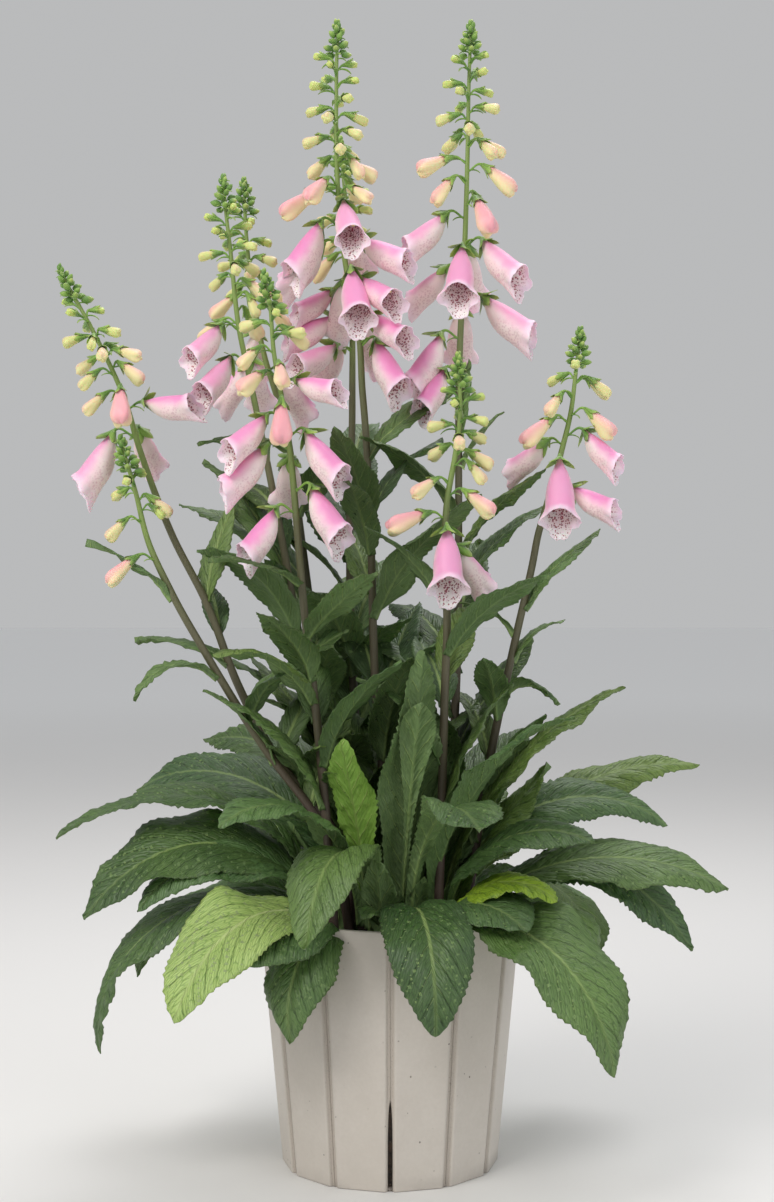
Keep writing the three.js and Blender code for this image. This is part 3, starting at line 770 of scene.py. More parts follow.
@dataclass(frozen=True)
class FloorFinish:
    """A pale, plain studio sweep with the faintest unevenness, which fades out away from the middle."""

    name: str = "studio_sweep"
    pale: Colour = (0.76, 0.75, 0.74)
    cloudy: Colour = (0.69, 0.68, 0.67)
    far: Colour = (0.96, 0.965, 0.97)
    cloud: float = 0.6
    fade: Pair = (1.5, 8.0)  # distances between which the floor pales

    def make(self) -> Material:
        """Builds the material."""
        tree = Tree(self.name)
        cloud = tree.noise(tree.place(), self.cloud, 3.0)
        colour = tree.mix(cloud * 0.25, self.pale, self.cloudy)
        length = tree.node("VectorMath", {"operation": "LENGTH"}, {0: tree.place()})
        away = Value(tree, length.outputs["Value"])
        colour = tree.mix(tree.step(away, *self.fade), colour, self.far)
        return tree.finish(Base_Color=colour, Roughness=0.75)


# ---- Planting plan ----


@dataclass(frozen=True)
class Spiral:
    """How leaves follow one another up a stalk; pairs are values at the lowest and the highest of them."""

    step: float = 0.036
    stalk_turn: float = 47.0  # degrees from one stalk's lowest leaf to the next stalk's
    room: float = 0.016  # kept from the plan's own leaves
    under_spike: float = 0.045
    length: Pair = (0.155, 0.095)
    width_share: float = 0.36
    lift: Pair = (72.0, 58.0)
    tip_lift: Pair = (32.0, 8.0)
    sway: float = 14.0  # degrees by which the tips rise and fall from leaf to leaf
    sway_turn: float = 2.4  # radians of that sway for each leaf


@dataclass(frozen=True)
class StalkPlan:
    """One flower stalk.

    stem: points on the stem, from the soil to the tip. flowers: height of the base, side it faces, dip below
    level, length. leaves: height, side, length, width, lift of the base, lift of the tip; leaves_from is the
    height of the lowest leaf of the spiral that comes besides them, and leaf_size how long the spiral's
    leaves are on this stalk, as a share of their usual length.
    """

    name: str
    stem: tuple[Triple, ...]
    spike_from: float
    buds_from: float
    leaves_from: float
    leaf_size: float
    flowers: tuple[tuple[float, float, float, float], ...]
    leaves: tuple[tuple[float, float, float, float, float, float], ...]

    def spiral_leaves(self, index: int, spiral: Spiral) -> list[Floats]:
        """The leaves at even steps up the stalk, where the plan's own leave room, as rows like theirs.

        Args:
            index: The stalk's place among the stalks.
            spiral: The spiral's sizes.

        Returns:
            Rows of height, side, length, width, lift of the base and lift of the tip.
        """
        top = self.spike_from - spiral.under_spike
        rows = []
        for number in range(math.ceil((top - self.leaves_from) / spiral.step - SLACK)):
            height = self.leaves_from + number * spiral.step
            if any(abs(taken[0] - height) <= spiral.room + SLACK for taken in self.leaves):
                continue
            share = (height - self.leaves_from) / (top - self.leaves_from)
            ends = (spiral.length, spiral.lift, spiral.tip_lift)
            length, lift, tip_lift = (low + (high - low) * share for low, high in ends)
            length *= self.leaf_size
            tip_lift += spiral.sway * math.sin(spiral.sway_turn * number + index)
            side = index * spiral.stalk_turn + number * GOLDEN_TURN
            rows.append((height, side, length, length * spiral.width_share, lift, tip_lift))
        return rows


STALKS = (StalkPlan(
    name="far_left",
    stem=(
        (-0.034, -0.012, 0.178), (-0.048, -0.013, 0.285), (-0.1, -0.016, 0.352), (-0.13, -0.017, 0.41),
        (-0.159, -0.018, 0.485), (-0.187, -0.019, 0.54), (-0.193, -0.019, 0.554), (-0.215, -0.02, 0.614),
        (-0.229, -0.02, 0.66), (-0.249, -0.02, 0.704), (-0.285, -0.02, 0.77),
    ),
    spike_from=0.554, buds_from=0.69, leaves_from=0.238, leaf_size=0.65,
    flowers=(
        (0.655, -20, 5, 0.05), (0.63, 190, 60, 0.058), (0.635, 80, 35, 0.048), (0.668, -80, 55, 0.04),
        (0.7, -25, 12, 0.028), (0.683, 200, 40, 0.024), (0.664, 195, 38, 0.028), (0.712, -90, 40, 0.02),
    ),
    leaves=(
        (0.484, 40, 0.092, 0.04, 80, 60), (0.43, 165, 0.092, 0.036, 40, -10),
        (0.395, 10, 0.11, 0.04, 50, 20),
    ),
), StalkPlan(
    name="near_left",
    stem=(
        (-0.03, -0.038, 0.178), (-0.056, -0.039, 0.29), (-0.108, -0.041, 0.362), (-0.161, -0.042, 0.448),
        (-0.182, -0.042, 0.485), (-0.187, -0.042, 0.495), (-0.204, -0.042, 0.532), (-0.216, -0.042, 0.578),
        (-0.229, -0.042, 0.622),
    ),
    spike_from=0.495, buds_from=0.575, leaves_from=0.31, leaf_size=0.65,
    flowers=(
        (0.523, 205, 36, 0.036), (0.566, -10, 35, 0.017), (0.555, 195, 42, 0.026),
    ),
    leaves=(
        (0.486, 185, 0.09, 0.016, 50, 12), (0.42, 190, 0.088, 0.032, 40, -72),
    ),
), StalkPlan(
    name="left",
    stem=(
        (-0.024, 0.022, 0.178), (-0.048, 0.014, 0.3), (-0.081, 0.005, 0.463), (-0.091, 0.003, 0.52),
        (-0.104, 0, 0.59), (-0.106, 0, 0.6), (-0.122, 0, 0.677), (-0.131, 0, 0.719), (-0.139, 0, 0.79),
        (-0.144, 0, 0.835), (-0.145, 0, 0.852),
    ),
    spike_from=0.6, buds_from=0.765, leaves_from=0.238, leaf_size=0.9,
    flowers=(
        (0.725, 215, 45, 0.048), (0.696, 225, 47, 0.05), (0.731, 160, 32, 0.03), (0.753, -10, 60, 0.024),
        (0.742, 60, 40, 0.034), (0.7, 75, 50, 0.048),
    ),
    leaves=(
        (0.5, 150, 0.15, 0.054, 70, 30), (0.455, 215, 0.13, 0.05, 60, 10), (0.56, 120, 0.09, 0.032, 40, 0),
    ),
), StalkPlan(
    name="back_left",
    stem=(
        (-0.03, 0.048, 0.178), (-0.052, 0.058, 0.33), (-0.08, 0.066, 0.54), (-0.091, 0.07, 0.622),
        (-0.093, 0.07, 0.634), (-0.116, 0.07, 0.715), (-0.131, 0.07, 0.822), (-0.133, 0.07, 0.866),
    ),
    spike_from=0.634, buds_from=0.77, leaves_from=0.238, leaf_size=1,
    flowers=(
        (0.735, 100, 50, 0.05), (0.705, 150, 50, 0.05), (0.7, 40, 55, 0.052), (0.765, 170, 35, 0.034),
        (0.755, 20, 40, 0.03),
    ),
    leaves=(
        (0.622, 190, 0.088, 0.03, 28, -25), (0.5, 160, 0.15, 0.054, 55, 5), (0.43, 70, 0.15, 0.054, 60, 10),
    ),
), StalkPlan(
    name="front_left",
    stem=(
        (-0.045, -0.052, 0.178), (-0.056, -0.057, 0.33), (-0.065, -0.06, 0.418), (-0.071, -0.06, 0.468),
        (-0.077, -0.06, 0.535), (-0.078, -0.06, 0.547), (-0.084, -0.06, 0.611), (-0.091, -0.06, 0.656),
        (-0.097, -0.06, 0.69), (-0.102, -0.06, 0.741), (-0.106, -0.06, 0.758),
    ),
    spike_from=0.547, buds_from=0.715, leaves_from=0.31, leaf_size=0.85,
    flowers=(
        (0.669, -30, 15, 0.046), (0.653, -88, 62, 0.043), (0.64, 210, 42, 0.05), (0.616, 190, 46, 0.056),
        (0.607, 95, 40, 0.05), (0.627, -25, 50, 0.055), (0.581, -30, 55, 0.055), (0.563, 205, 55, 0.052),
        (0.697, 212, 38, 0.028), (0.676, 225, 30, 0.034), (0.708, -30, 0, 0.022), (0.684, -75, 45, 0.03),
    ),
    leaves=(
        (0.5, 215, 0.09, 0.032, 30, -10), (0.455, -50, 0.11, 0.04, 45, 10), (0.4, 230, 0.13, 0.047, 50, -10),
    ),
), StalkPlan(
    name="tall_left",
    stem=(
        (0.004, 0.004, 0.178), (-0.006, 0.007, 0.33), (-0.012, 0.008, 0.4), (-0.018, 0.009, 0.573),
        (-0.023, 0.01, 0.655), (-0.024, 0.01, 0.666), (-0.027, 0.01, 0.718), (-0.039, 0.01, 0.78),
        (-0.046, 0.01, 0.853), (-0.047, 0.01, 0.93), (-0.046, 0.01, 0.99),
    ),
    spike_from=0.666, buds_from=0.87, leaves_from=0.238, leaf_size=1,
    flowers=(
        (0.832, -75, 50, 0.052), (0.801, -25, 28, 0.054), (0.817, 200, 60, 0.058), (0.8, 165, 45, 0.054),
        (0.774, -75, 60, 0.056), (0.766, -45, 32, 0.05), (0.735, -40, 32, 0.05), (0.713, -35, 60, 0.055),
        (0.845, 190, 30, 0.043), (0.853, 235, 36, 0.038), (0.875, -35, 50, 0.028), (0.846, -40, 26, 0.03),
        (0.86, 60, 30, 0.032), (0.82, 70, 45, 0.05), (0.77, 100, 50, 0.052),
    ),
    leaves=(
        (0.61, 20, 0.11, 0.04, 55, 20), (0.545, 250, 0.12, 0.043, 60, 30), (0.47, 330, 0.15, 0.054, 65, 25),
        (0.41, 110, 0.15, 0.055, 60, 10),
    ),
), StalkPlan(
    name="mid_left",
    stem=(
        (-0.016, 0.038, 0.178), (-0.028, 0.044, 0.33), (-0.035, 0.05, 0.459), (-0.036, 0.055, 0.576),
        (-0.034, 0.059, 0.655), (-0.034, 0.06, 0.666), (-0.034, 0.06, 0.73), (-0.038, 0.06, 0.82),
        (-0.045, 0.06, 0.9),
    ),
    spike_from=0.666, buds_from=0.81, leaves_from=0.238, leaf_size=1,
    flowers=(
        (0.742, 195, 30, 0.052), (0.715, 215, 27, 0.052), (0.766, 200, 33, 0.046), (0.78, 80, 45, 0.05),
        (0.745, 60, 50, 0.052), (0.725, 130, 50, 0.05), (0.8, 150, 35, 0.034),
    ),
    leaves=(
        (0.6, 80, 0.11, 0.04, 50, 10), (0.52, 130, 0.14, 0.05, 60, 20), (0.45, 60, 0.14, 0.05, 60, 15),
    ),
), StalkPlan(
    name="tall_right",
    stem=(
        (0.046, 0.024, 0.178), (0.055, 0.027, 0.33), (0.06, 0.03, 0.446), (0.061, 0.03, 0.572),
        (0.061, 0.03, 0.655), (0.061, 0.03, 0.666), (0.063, 0.03, 0.73), (0.066, 0.03, 0.79),
        (0.069, 0.03, 0.885), (0.07, 0.03, 0.94), (0.072, 0.03, 0.996),
    ),
    spike_from=0.666, buds_from=0.895, leaves_from=0.238, leaf_size=1,
    flowers=(
        (0.829, 190, 42, 0.052), (0.84, -60, 50, 0.043), (0.804, -32, 45, 0.056), (0.797, -100, 62, 0.056),
        (0.783, 155, 40, 0.048), (0.755, -15, 40, 0.06), (0.722, 195, 60, 0.057), (0.69, 215, 55, 0.048),
        (0.878, 190, 18, 0.035), (0.86, 210, 45, 0.034), (0.871, -8, 36, 0.038), (0.892, -40, 38, 0.026),
        (0.85, 60, 35, 0.036), (0.805, 80, 50, 0.052), (0.75, 90, 50, 0.054), (0.905, 120, 25, 0.024),
    ),
    leaves=(
        (0.628, 40, 0.074, 0.018, 84, 76), (0.604, 0, 0.064, 0.015, 70, 30),
        (0.56, 200, 0.12, 0.043, 55, 15), (0.492, 12, 0.116, 0.044, 60, 28), (0.42, 120, 0.14, 0.05, 55, 0),
    ),
), StalkPlan(
    name="front_right",
    stem=(
        (0.04, -0.036, 0.178), (0.044, -0.042, 0.32), (0.046, -0.046, 0.401), (0.048, -0.049, 0.47),
        (0.046, -0.05, 0.52), (0.046, -0.05, 0.53), (0.048, -0.05, 0.568), (0.055, -0.05, 0.608),
        (0.059, -0.05, 0.64), (0.057, -0.05, 0.69),
    ),
    spike_from=0.53, buds_from=0.612, leaves_from=0.31, leaf_size=0.8,
    flowers=(
        (0.547, -87, 70, 0.056), (0.532, 50, 42, 0.05), (0.559, 205, 15, 0.042), (0.578, -30, 32, 0.036),
        (0.588, 210, 27, 0.03), (0.603, -28, 45, 0.026),
    ),
    leaves=(
        (0.48, 200, 0.1, 0.036, 60, 25), (0.44, -40, 0.13, 0.047, 55, 5), (0.395, 100, 0.11, 0.04, 50, 10),
    ),
), StalkPlan(
    name="far_right",
    stem=(
        (0.062, 0.002, 0.178), (0.084, 0.001, 0.33), (0.109, 0, 0.45), (0.124, 0, 0.516), (0.13, 0, 0.546),
        (0.133, 0, 0.556), (0.15, 0, 0.617), (0.157, 0, 0.646), (0.162, 0, 0.685), (0.166, 0, 0.72),
    ),
    spike_from=0.556, buds_from=0.68, leaves_from=0.238, leaf_size=0.7,
    flowers=(
        (0.608, -95, 72, 0.058), (0.584, -25, 28, 0.048), (0.626, 150, 35, 0.046), (0.633, -25, 46, 0.046),
        (0.645, 200, 34, 0.04), (0.651, -30, 39, 0.036), (0.666, 215, 43, 0.028), (0.679, -5, 34, 0.025),
    ),
    leaves=(
        (0.478, 0, 0.098, 0.036, 50, 42), (0.455, 180, 0.06, 0.012, 60, 0),
        (0.432, 15, 0.064, 0.026, 60, 12), (0.405, -25, 0.06, 0.022, 40, -60),
    ),
))

BASAL_LEAVES = (
    ("upright_front", 302, 0.215, 0.064, 84, 76, 0.02, 0.006, -10),
    ("upright_tall", 286, 0.25, 0.062, 84, 68, 0.03, 0.006, 10),
    ("lime_upright", 250, 0.18, 0.044, 74, 64, 0.044, 0.008, 0),
    ("front_crumpled", 285, 0.205, 0.034, 86, 62, 0.04, 0.01, -15),
    ("upright_back", 85, 0.24, 0.069, 80, 55, 0.034, 0.008, 0),
    ("back_tall_left", 125, 0.23, 0.067, 70, 20, 0.04, 0.012, -10),
    ("back_tall_right", 45, 0.23, 0.067, 70, 20, 0.042, 0.012, 10),
    ("right_upward", 315, 0.268, 0.068, 86, 8, 0.044, 0.014, 15),
    ("right_high", 350, 0.27, 0.054, 86, 17, 0.044, 0.014, 15),
    ("left_arching", 158, 0.275, 0.07, 86, -34, 0.04, 0.014, -25),
    ("left_grey", 138, 0.29, 0.064, 82, -15, 0.042, 0.014, -20),
    ("front_arching", 290, 0.245, 0.066, 86, -25, 0.046, 0.01, 0),
    ("left_dark", 238, 0.245, 0.066, 86, -28, 0.046, 0.014, -20),
    ("right_middle", 0, 0.252, 0.06, 84, -41, 0.052, 0.016, 25),
    ("right_level", 14, 0.286, 0.054, 65, -7, 0.05, 0.012, 20),
    ("right_inner", 330, 0.19, 0.062, 80, -24, 0.05, 0.014, 15),
    ("front_grey", 251, 0.225, 0.072, 86, -78, 0.048, 0.012, 0),
    ("front_small", 265, 0.085, 0.034, 40, 0, 0.056, 0.012, 0),
    ("back_mid_left", 140, 0.22, 0.076, 54, -25, 0.05, 0.012, -10),
    ("back_mid_right", 55, 0.22, 0.076, 52, -28, 0.05, 0.012, 10),
    ("left_level", 188, 0.29, 0.066, 70, -36, 0.052, 0.016, -14),
    ("left_broad", 195, 0.262, 0.092, 65, -58, 0.054, 0.01, -28),
    ("front_right_mid", 307, 0.134, 0.082, 49, -36, 0.056, 0.012, 10),
    ("right_long", 348, 0.255, 0.076, 46, -29, 0.056, 0.012, 25),
    ("lime_round", 322, 0.14, 0.068, 70, -34, 0.058, 0.008, 15),
    ("left_lapping", 199, 0.208, 0.068, 70, -56, 0.058, 0.012, -24),
    ("left_hanging", 196, 0.283, 0.072, 47, -100, 0.056, 0.008, -8),
    ("yellow_front", 224, 0.216, 0.092, 36, -67, 0.058, 0.01, -20),
    ("front_hanging", 281, 0.195, 0.076, 50, -98, 0.058, 0.012, 0),
    ("right_low", 353, 0.248, 0.062, 51, -63, 0.058, 0.01, 25),
    ("right_broad", 331, 0.174, 0.088, 45, -74, 0.06, 0.008, 15),
    ("right_hanging", 313, 0.242, 0.096, 30, -80, 0.062, 0.008, 18),
    ("green_front", 232, 0.14, 0.084, 28, -36, 0.062, 0.01, -10),
    ("dark_hanging", 238, 0.15, 0.066, 32, -112, 0.062, 0.008, 0),
    ("back_low_left", 155, 0.25, 0.087, 42, -80, 0.06, 0.008, -10),
    ("back_low_mid", 118, 0.215, 0.085, 44, -92, 0.06, 0.008, 0),
    ("back_low", 78, 0.21, 0.085, 44, -94, 0.06, 0.008, 0),
    ("back_low_right", 38, 0.25, 0.087, 42, -76, 0.06, 0.008, 10),
)


# ---- Leaves ----


class Tint(Enum):
    """The three leaf finishes, each by the word that tells it in a leaf's name: lime and yellow are the green
    leaf with painted light shining through it.
    """

    GREEN = "green"
    LIME = "lime"
    YELLOW = "yellow"

    @classmethod
    def of(cls, name: str) -> Tint:
        """A leaf's finish by its name: green, unless the word lime or yellow is in it."""
        return next((tint for tint in (cls.LIME, cls.YELLOW) if tint.value in name), cls.GREEN)

    @property
    def slot(self) -> str:
        """The material slot of this finish."""
        return "leaf" if self is Tint.GREEN else f"{self.value}_leaf"


@dataclass(frozen=True)
class Blade:
    """One leaf: where it starts, how it lies, how large it is and how uneven."""

    base: Triple
    side: float
    length: float
    width: float
    lift: float
    tip_lift: float
    roll: float = 0.0
    seed: int = 0
    tooth: float = 0.006  # along the edge
    tooth_depth: float = 0.0015  # less on a blade narrower than full_width
    tooth_peak: float = 0.6  # share of a tooth where it stands out most
    full_width: float = 0.05
    petiole_share: float = 0.16  # of the blade's width
    petiole_end: float = 0.12  # share of the length before the blade opens
    petiole_rows: int = 7
    fullness: float = 0.75
    widest_at: float = 0.52
    pucker: float = 0.0019  # how far the blade swells between its veins
    pebble: float = 0.0006
    crinkle: float = 0.0016  # short waves of the margin
    ruffle: float = 0.15  # its long waves, as a share of half the width
    sag: float = 0.005  # slow waves of the whole blade
    thickness: float = 0.00035
    petiole_depth: float = 0.001
    rib_half: float = 0.0024
    rib_depth: Pair = (0.0004, 0.003)  # below the blade, at the tip and what the base adds
    channel: float = 0.0009  # above the rib, at the base
    vein_pace: float = 0.022
    vein_slant: float = 1.5
    vein_bend: float = 12.0
    across_stations: Floats = (1, 0.93, 0.82, 0.69, 0.56, 0.43, 0.3, 0.17, 0.05)

    def _half_width(self, s: Array) -> Array:
        """Half the width by share of length: a narrow petiole that opens into an oval, a power of a sine."""
        along = np.clip((s - self.petiole_end) / (1 - self.petiole_end), 0, 1)
        skew = math.log(0.5) / math.log(self.widest_at)
        oval = np.maximum(np.sin(math.pi * along**skew), 0) ** self.fullness
        return self.width / 2 * (self.petiole_share * (1 - along) + (1 - self.petiole_share) * oval)

    def _stations(self, rng: Rng) -> tuple[Array, Array]:
        """Shares of the length, two to a tooth, and how far the edge stands out at each."""
        teeth = round((1 - self.petiole_end) * self.length / self.tooth)
        phases = (np.arange(teeth)[:, None] + (0.0, self.tooth_peak)) / teeth
        sizes = rng.uniform(0.7, 1.3, (teeth, 1)) * (0.0, 1.0)
        s = self.petiole_end + (1 - self.petiole_end) * phases.ravel()
        start = np.linspace(0, self.petiole_end, self.petiole_rows, endpoint=False)
        return np.concatenate([start, s, [1.0]]), np.concatenate([start * 0, sizes.ravel(), [0.0]])

    def _midline(self, s: Array, rng: Rng) -> tuple[Array, Array, Array]:
        """Follows the leaf's middle from its base, by the mean way of each two stations times their distance.

        Args:
            s: Shares of the length.
            rng: Gives how the leaf veers, twists and waves.

        Returns:
            The points, the ways across the leaf and the ways up from it, each (rows, 3).
        """
        veer, twist, wave = rng.uniform(-5, 5), rng.uniform(-14, 14), rng.uniform(-5, 5)
        pitch = self.lift + (self.tip_lift - self.lift) * s + wave * np.sin(TAU * s)
        side = self.side + veer * (s - 0.15) * 2
        ways = direction(side, pitch)
        steps = (ways[1:] + ways[:-1]) / 2 * np.diff(s * self.length)[:, None]
        centre = np.array(self.base) + np.concatenate([np.zeros((1, 3)), np.cumsum(steps, axis=0)])
        level = direction(side + 90, 0)
        square = np.cross(ways, level)
        roll = np.radians(self.roll + twist * s)[:, None]
        across = level * np.cos(roll) + square * np.sin(roll)
        return centre, across, square * np.cos(roll) - level * np.sin(roll)

    def _reach(self, s: Array, jag: Array, u: Array, rng: Rng) -> Array:
        """How far each column stands from the midrib: a share of half the width, and teeth at the margin.

        Args:
            s: (rows, 1) shares of the length.
            jag: (rows, 1) of how far the teeth stand out.
            u: (columns,) shares of half the width, from 1 to -1 and back.
            rng: Gives the margin's wandering.

        Returns:
            (rows, columns) distances.
        """
        along = s * self.length
        reach = self._half_width(s) * (1 + 0.05 * lumps(along, 0 * along, 0.06, rng)) * u
        fade = np.clip((1 - s) / 0.08, 0, 1) * eased(s, self.petiole_end, 0.3)
        teeth = self.tooth_depth * min(1, self.width / self.full_width) * jag * fade
        return reach + np.sign(u) * teeth * eased(np.abs(u), 0.86, 1)

    def _height(self, s: Array, x: Array, u: Array, vein: Array, rng: Rng) -> Array:
        """How far the top stands up: its cup, waves, pebbles and the swellings between its veins, added up.

        Args:
            s: (rows, 1) shares of the length.
            x: (rows, columns) distances from the midrib.
            u: (columns,) shares of half the width.
            vein: (rows, columns) counts of side veins.
            rng: Gives the cup and the waves.

        Returns:
            (rows, columns) heights.
        """
        half, away, along = self._half_width(s), np.abs(u), s * self.length
        swell = np.sin(math.pi * vein) ** 2 * (1 - away**3) * eased(np.abs(x), 0.001, 0.01)
        small = lumps(x + 0.7 * along, along, 0.01, rng) + 0.6 * lumps(x, along, 0.006, rng)
        fold, recurve = rng.uniform(0.16, 0.34), rng.uniform(0.16, 0.42)
        cup = half * (fold * away * (1.15 - 0.4 * s) - recurve * away**2.6)
        long_waves = np.where(u > 0, lumps(along, 0 * along, 0.055, rng), lumps(along, 0 * along, 0.05, rng))
        ruffle = self.ruffle * half * long_waves * away**2.2
        crinkle = self.crinkle * lumps(along, 3 * x, 0.019, rng) * away**3
        sag = self.sag * lumps(along, x, 0.075, rng) * away
        return cup + ruffle + crinkle + sag + self.pucker * swell + self.pebble * small

    def grow(self, skin: Skin) -> None:
        """Works the leaf out on a grid, edge to edge over the top and back below.

        Args:
            skin: The skin that takes it.
        """
        rng = np.random.default_rng(self.seed)
        s, jag = self._stations(rng)
        centre, across, up = self._midline(s, rng)
        s, jag = s[:, None], jag[:, None]
        u = np.concatenate([self.across_stations, -np.array(self.across_stations[::-1])])
        u = np.concatenate([u, u[::-1]])
        face = np.where(np.arange(len(u)) < len(u) // 2, 1.0, -1.0)
        x = self._reach(s, jag, u, rng)
        span = np.abs(x)
        vein = (s * self.length - self.vein_slant * span - self.vein_bend * span**2) / self.vein_pace
        vein = vein + np.where(u > 0, 0.0, rng.uniform(0.3, 0.7))
        opened = eased(s, self.petiole_end, self.petiole_end + 0.15)
        rib = bump(x, 0, np.minimum(self.rib_half, 0.55 * self._half_width(s)), 2)
        height = opened * self._height(s, x, u, vein, rng) - self.channel * (1 - 0.8 * s) * rib
        keel = self.rib_depth[0] + self.rib_depth[1] * (1 - s) ** 1.2
        thick = self.thickness + keel * rib + (1 - opened) * self.petiole_depth
        height = np.where(face > 0, height, height - thick)
        skin.add(
            centre[:, None] + across[:, None] * x[..., None] + up[:, None] * height[..., None],
            across=x,
            along=s * self.length,
            edge=np.abs(u),
            share=s,
            face=face,
            tone=rng.uniform(),
            vein=vein,
        )


# Where the few unusual leaves are widest, as a share of the blade's length.
WIDEST_AT = {
    "lime_upright": 0.72,
    "front_crumpled": 0.85,
    "front_grey": 0.6,
    "right_long": 0.6,
    "front_arching": 0.8,
}


@dataclass(frozen=True)
class Foliage:
    """The basal leaves, one piece each, and the small young leaves at the crown.

    leaves: name, side, length, width, lift of the base, lift of the tip, the base's distance out and height
    above the soil, and the roll that tips one edge down.
    """

    leaves: tuple[tuple[str, float, float, float, float, float, float, float, float], ...]
    finishes: dict[Tint, Material]
    seed: int = 100
    crown_leaves: int = 16
    crown_seed: int = 7
    crown_leaf_seed: int = 300
    crown_stations: Floats = (1, 0.88, 0.65, 0.42, 0.2, 0.05)

    def build(self) -> None:
        """Grows each basal leaf and then the crown."""
        for number, (name, side, length, width, lift, tip_lift, out, above, roll) in enumerate(self.leaves):
            base = tuple(direction(side, 0) * out + (0, 0, SOIL_TOP + above))
            widest_at = WIDEST_AT.get(name, Blade.widest_at)
            skin = Skin()
            seed = self.seed + number
            Blade(base, side, length, width, lift, tip_lift, roll, seed, widest_at=widest_at).grow(skin)
            tint = Tint.of(name)
            piece = skin.build(f"leaf_{name}", self.finishes[tint])
            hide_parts(f"leaf_{name}")
        self._build_crown()

    def _build_crown(self) -> None:
        """Grows small steep leaves among the feet of the stalks, shorter where the front would show them."""
        rng = np.random.default_rng(self.crown_seed)
        skin = Skin()
        for number in range(self.crown_leaves):
            side = number * GOLDEN_TURN
            base = direction(side, 0) * rng.uniform(0.015, 0.055) + (0, 0, SOIL_TOP - 0.004)
            in_front = math.sin(math.radians(side)) < -0.25
            length = rng.uniform(0.05, 0.09) if in_front else rng.uniform(0.11, 0.19)
            width = length * rng.uniform(0.28, 0.36)
            lift = rng.uniform(62, 80)
            tip_lift = lift - rng.uniform(10, 45)
            Blade(
                tuple(base), side, length, width, lift, tip_lift,
                seed=self.crown_leaf_seed + number, across_stations=self.crown_stations,
            ).grow(skin)
        piece = skin.build("crown_leaves", self.finishes[Tint.GREEN])
        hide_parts("leaf_upright_back")


# ---- Stalks and flowers ----


@dataclass(frozen=True)
class Frames:
    """Where flowers hang: a base, the way each points, its back, its own sideways and its length."""

    base: Array
    way: Array
    back: Array
    sideways: Array
    length: Array

    @classmethod
    def at(cls, base: Array, side: Array, dip: Array, length: Array) -> Frames:
        """Frames from bases, sides, dips below level and lengths."""
        way, back = direction(side, -dip), direction(side, 90 - dip)
        return cls(base, way, back, np.cross(way, back), np.asarray(length, float))

    def chosen(self, keep: Array) -> Frames:
        """The frames that a mask or a list of numbers picks."""
        return Frames(*(getattr(self, part.name)[keep] for part in fields(Frames)))

    def and_then(self, more: Frames) -> Frames:
        """These frames, and more after them."""
        pairs = ((getattr(self, part.name), getattr(more, part.name)) for part in fields(Frames))
        return Frames(*(np.concatenate(pair) for pair in pairs))

    def surface(self, forward: Array, radius: Array, turn: Array, rise: Array | float = 0.0) -> Array:
        """Points at a distance forward and out from each axis, at a turn from the back.

        Args:
            forward: Distance along the axis, (copies, rows, columns).
            radius: Distance from it.
            turn: Angle from the back, in radians, rising anticlockwise as seen from the mouth.
            rise: How far the axis itself is moved towards the back.

        Returns:
            (copies, rows, columns, 3) points.
        """
        forward, radius, turn, rise = np.broadcast_arrays(forward, radius, turn, rise)
        grid = (slice(None), None, None)
        along = self.way[grid] * forward[..., None]
        out = self.back[grid] * (radius * np.cos(turn) + rise)[..., None]
        beside = self.sideways[grid] * (radius * np.sin(turn))[..., None]
        return self.base[grid] + along + out + beside


def round_turns(columns: int) -> Array:
    """Even turns of a full circle, as (1, 1, columns)."""
    return (np.arange(columns) * TAU / columns)[None, None]


@dataclass(frozen=True)
class Lobe:
    """One swelling of a bell's rim: a smooth bump at a turn from the back, in radians, on both sides."""

    at: float
    half: float
    flatness: float
    reach: float  # forwards, as a share of the bell's length, like the flare
    flare: float


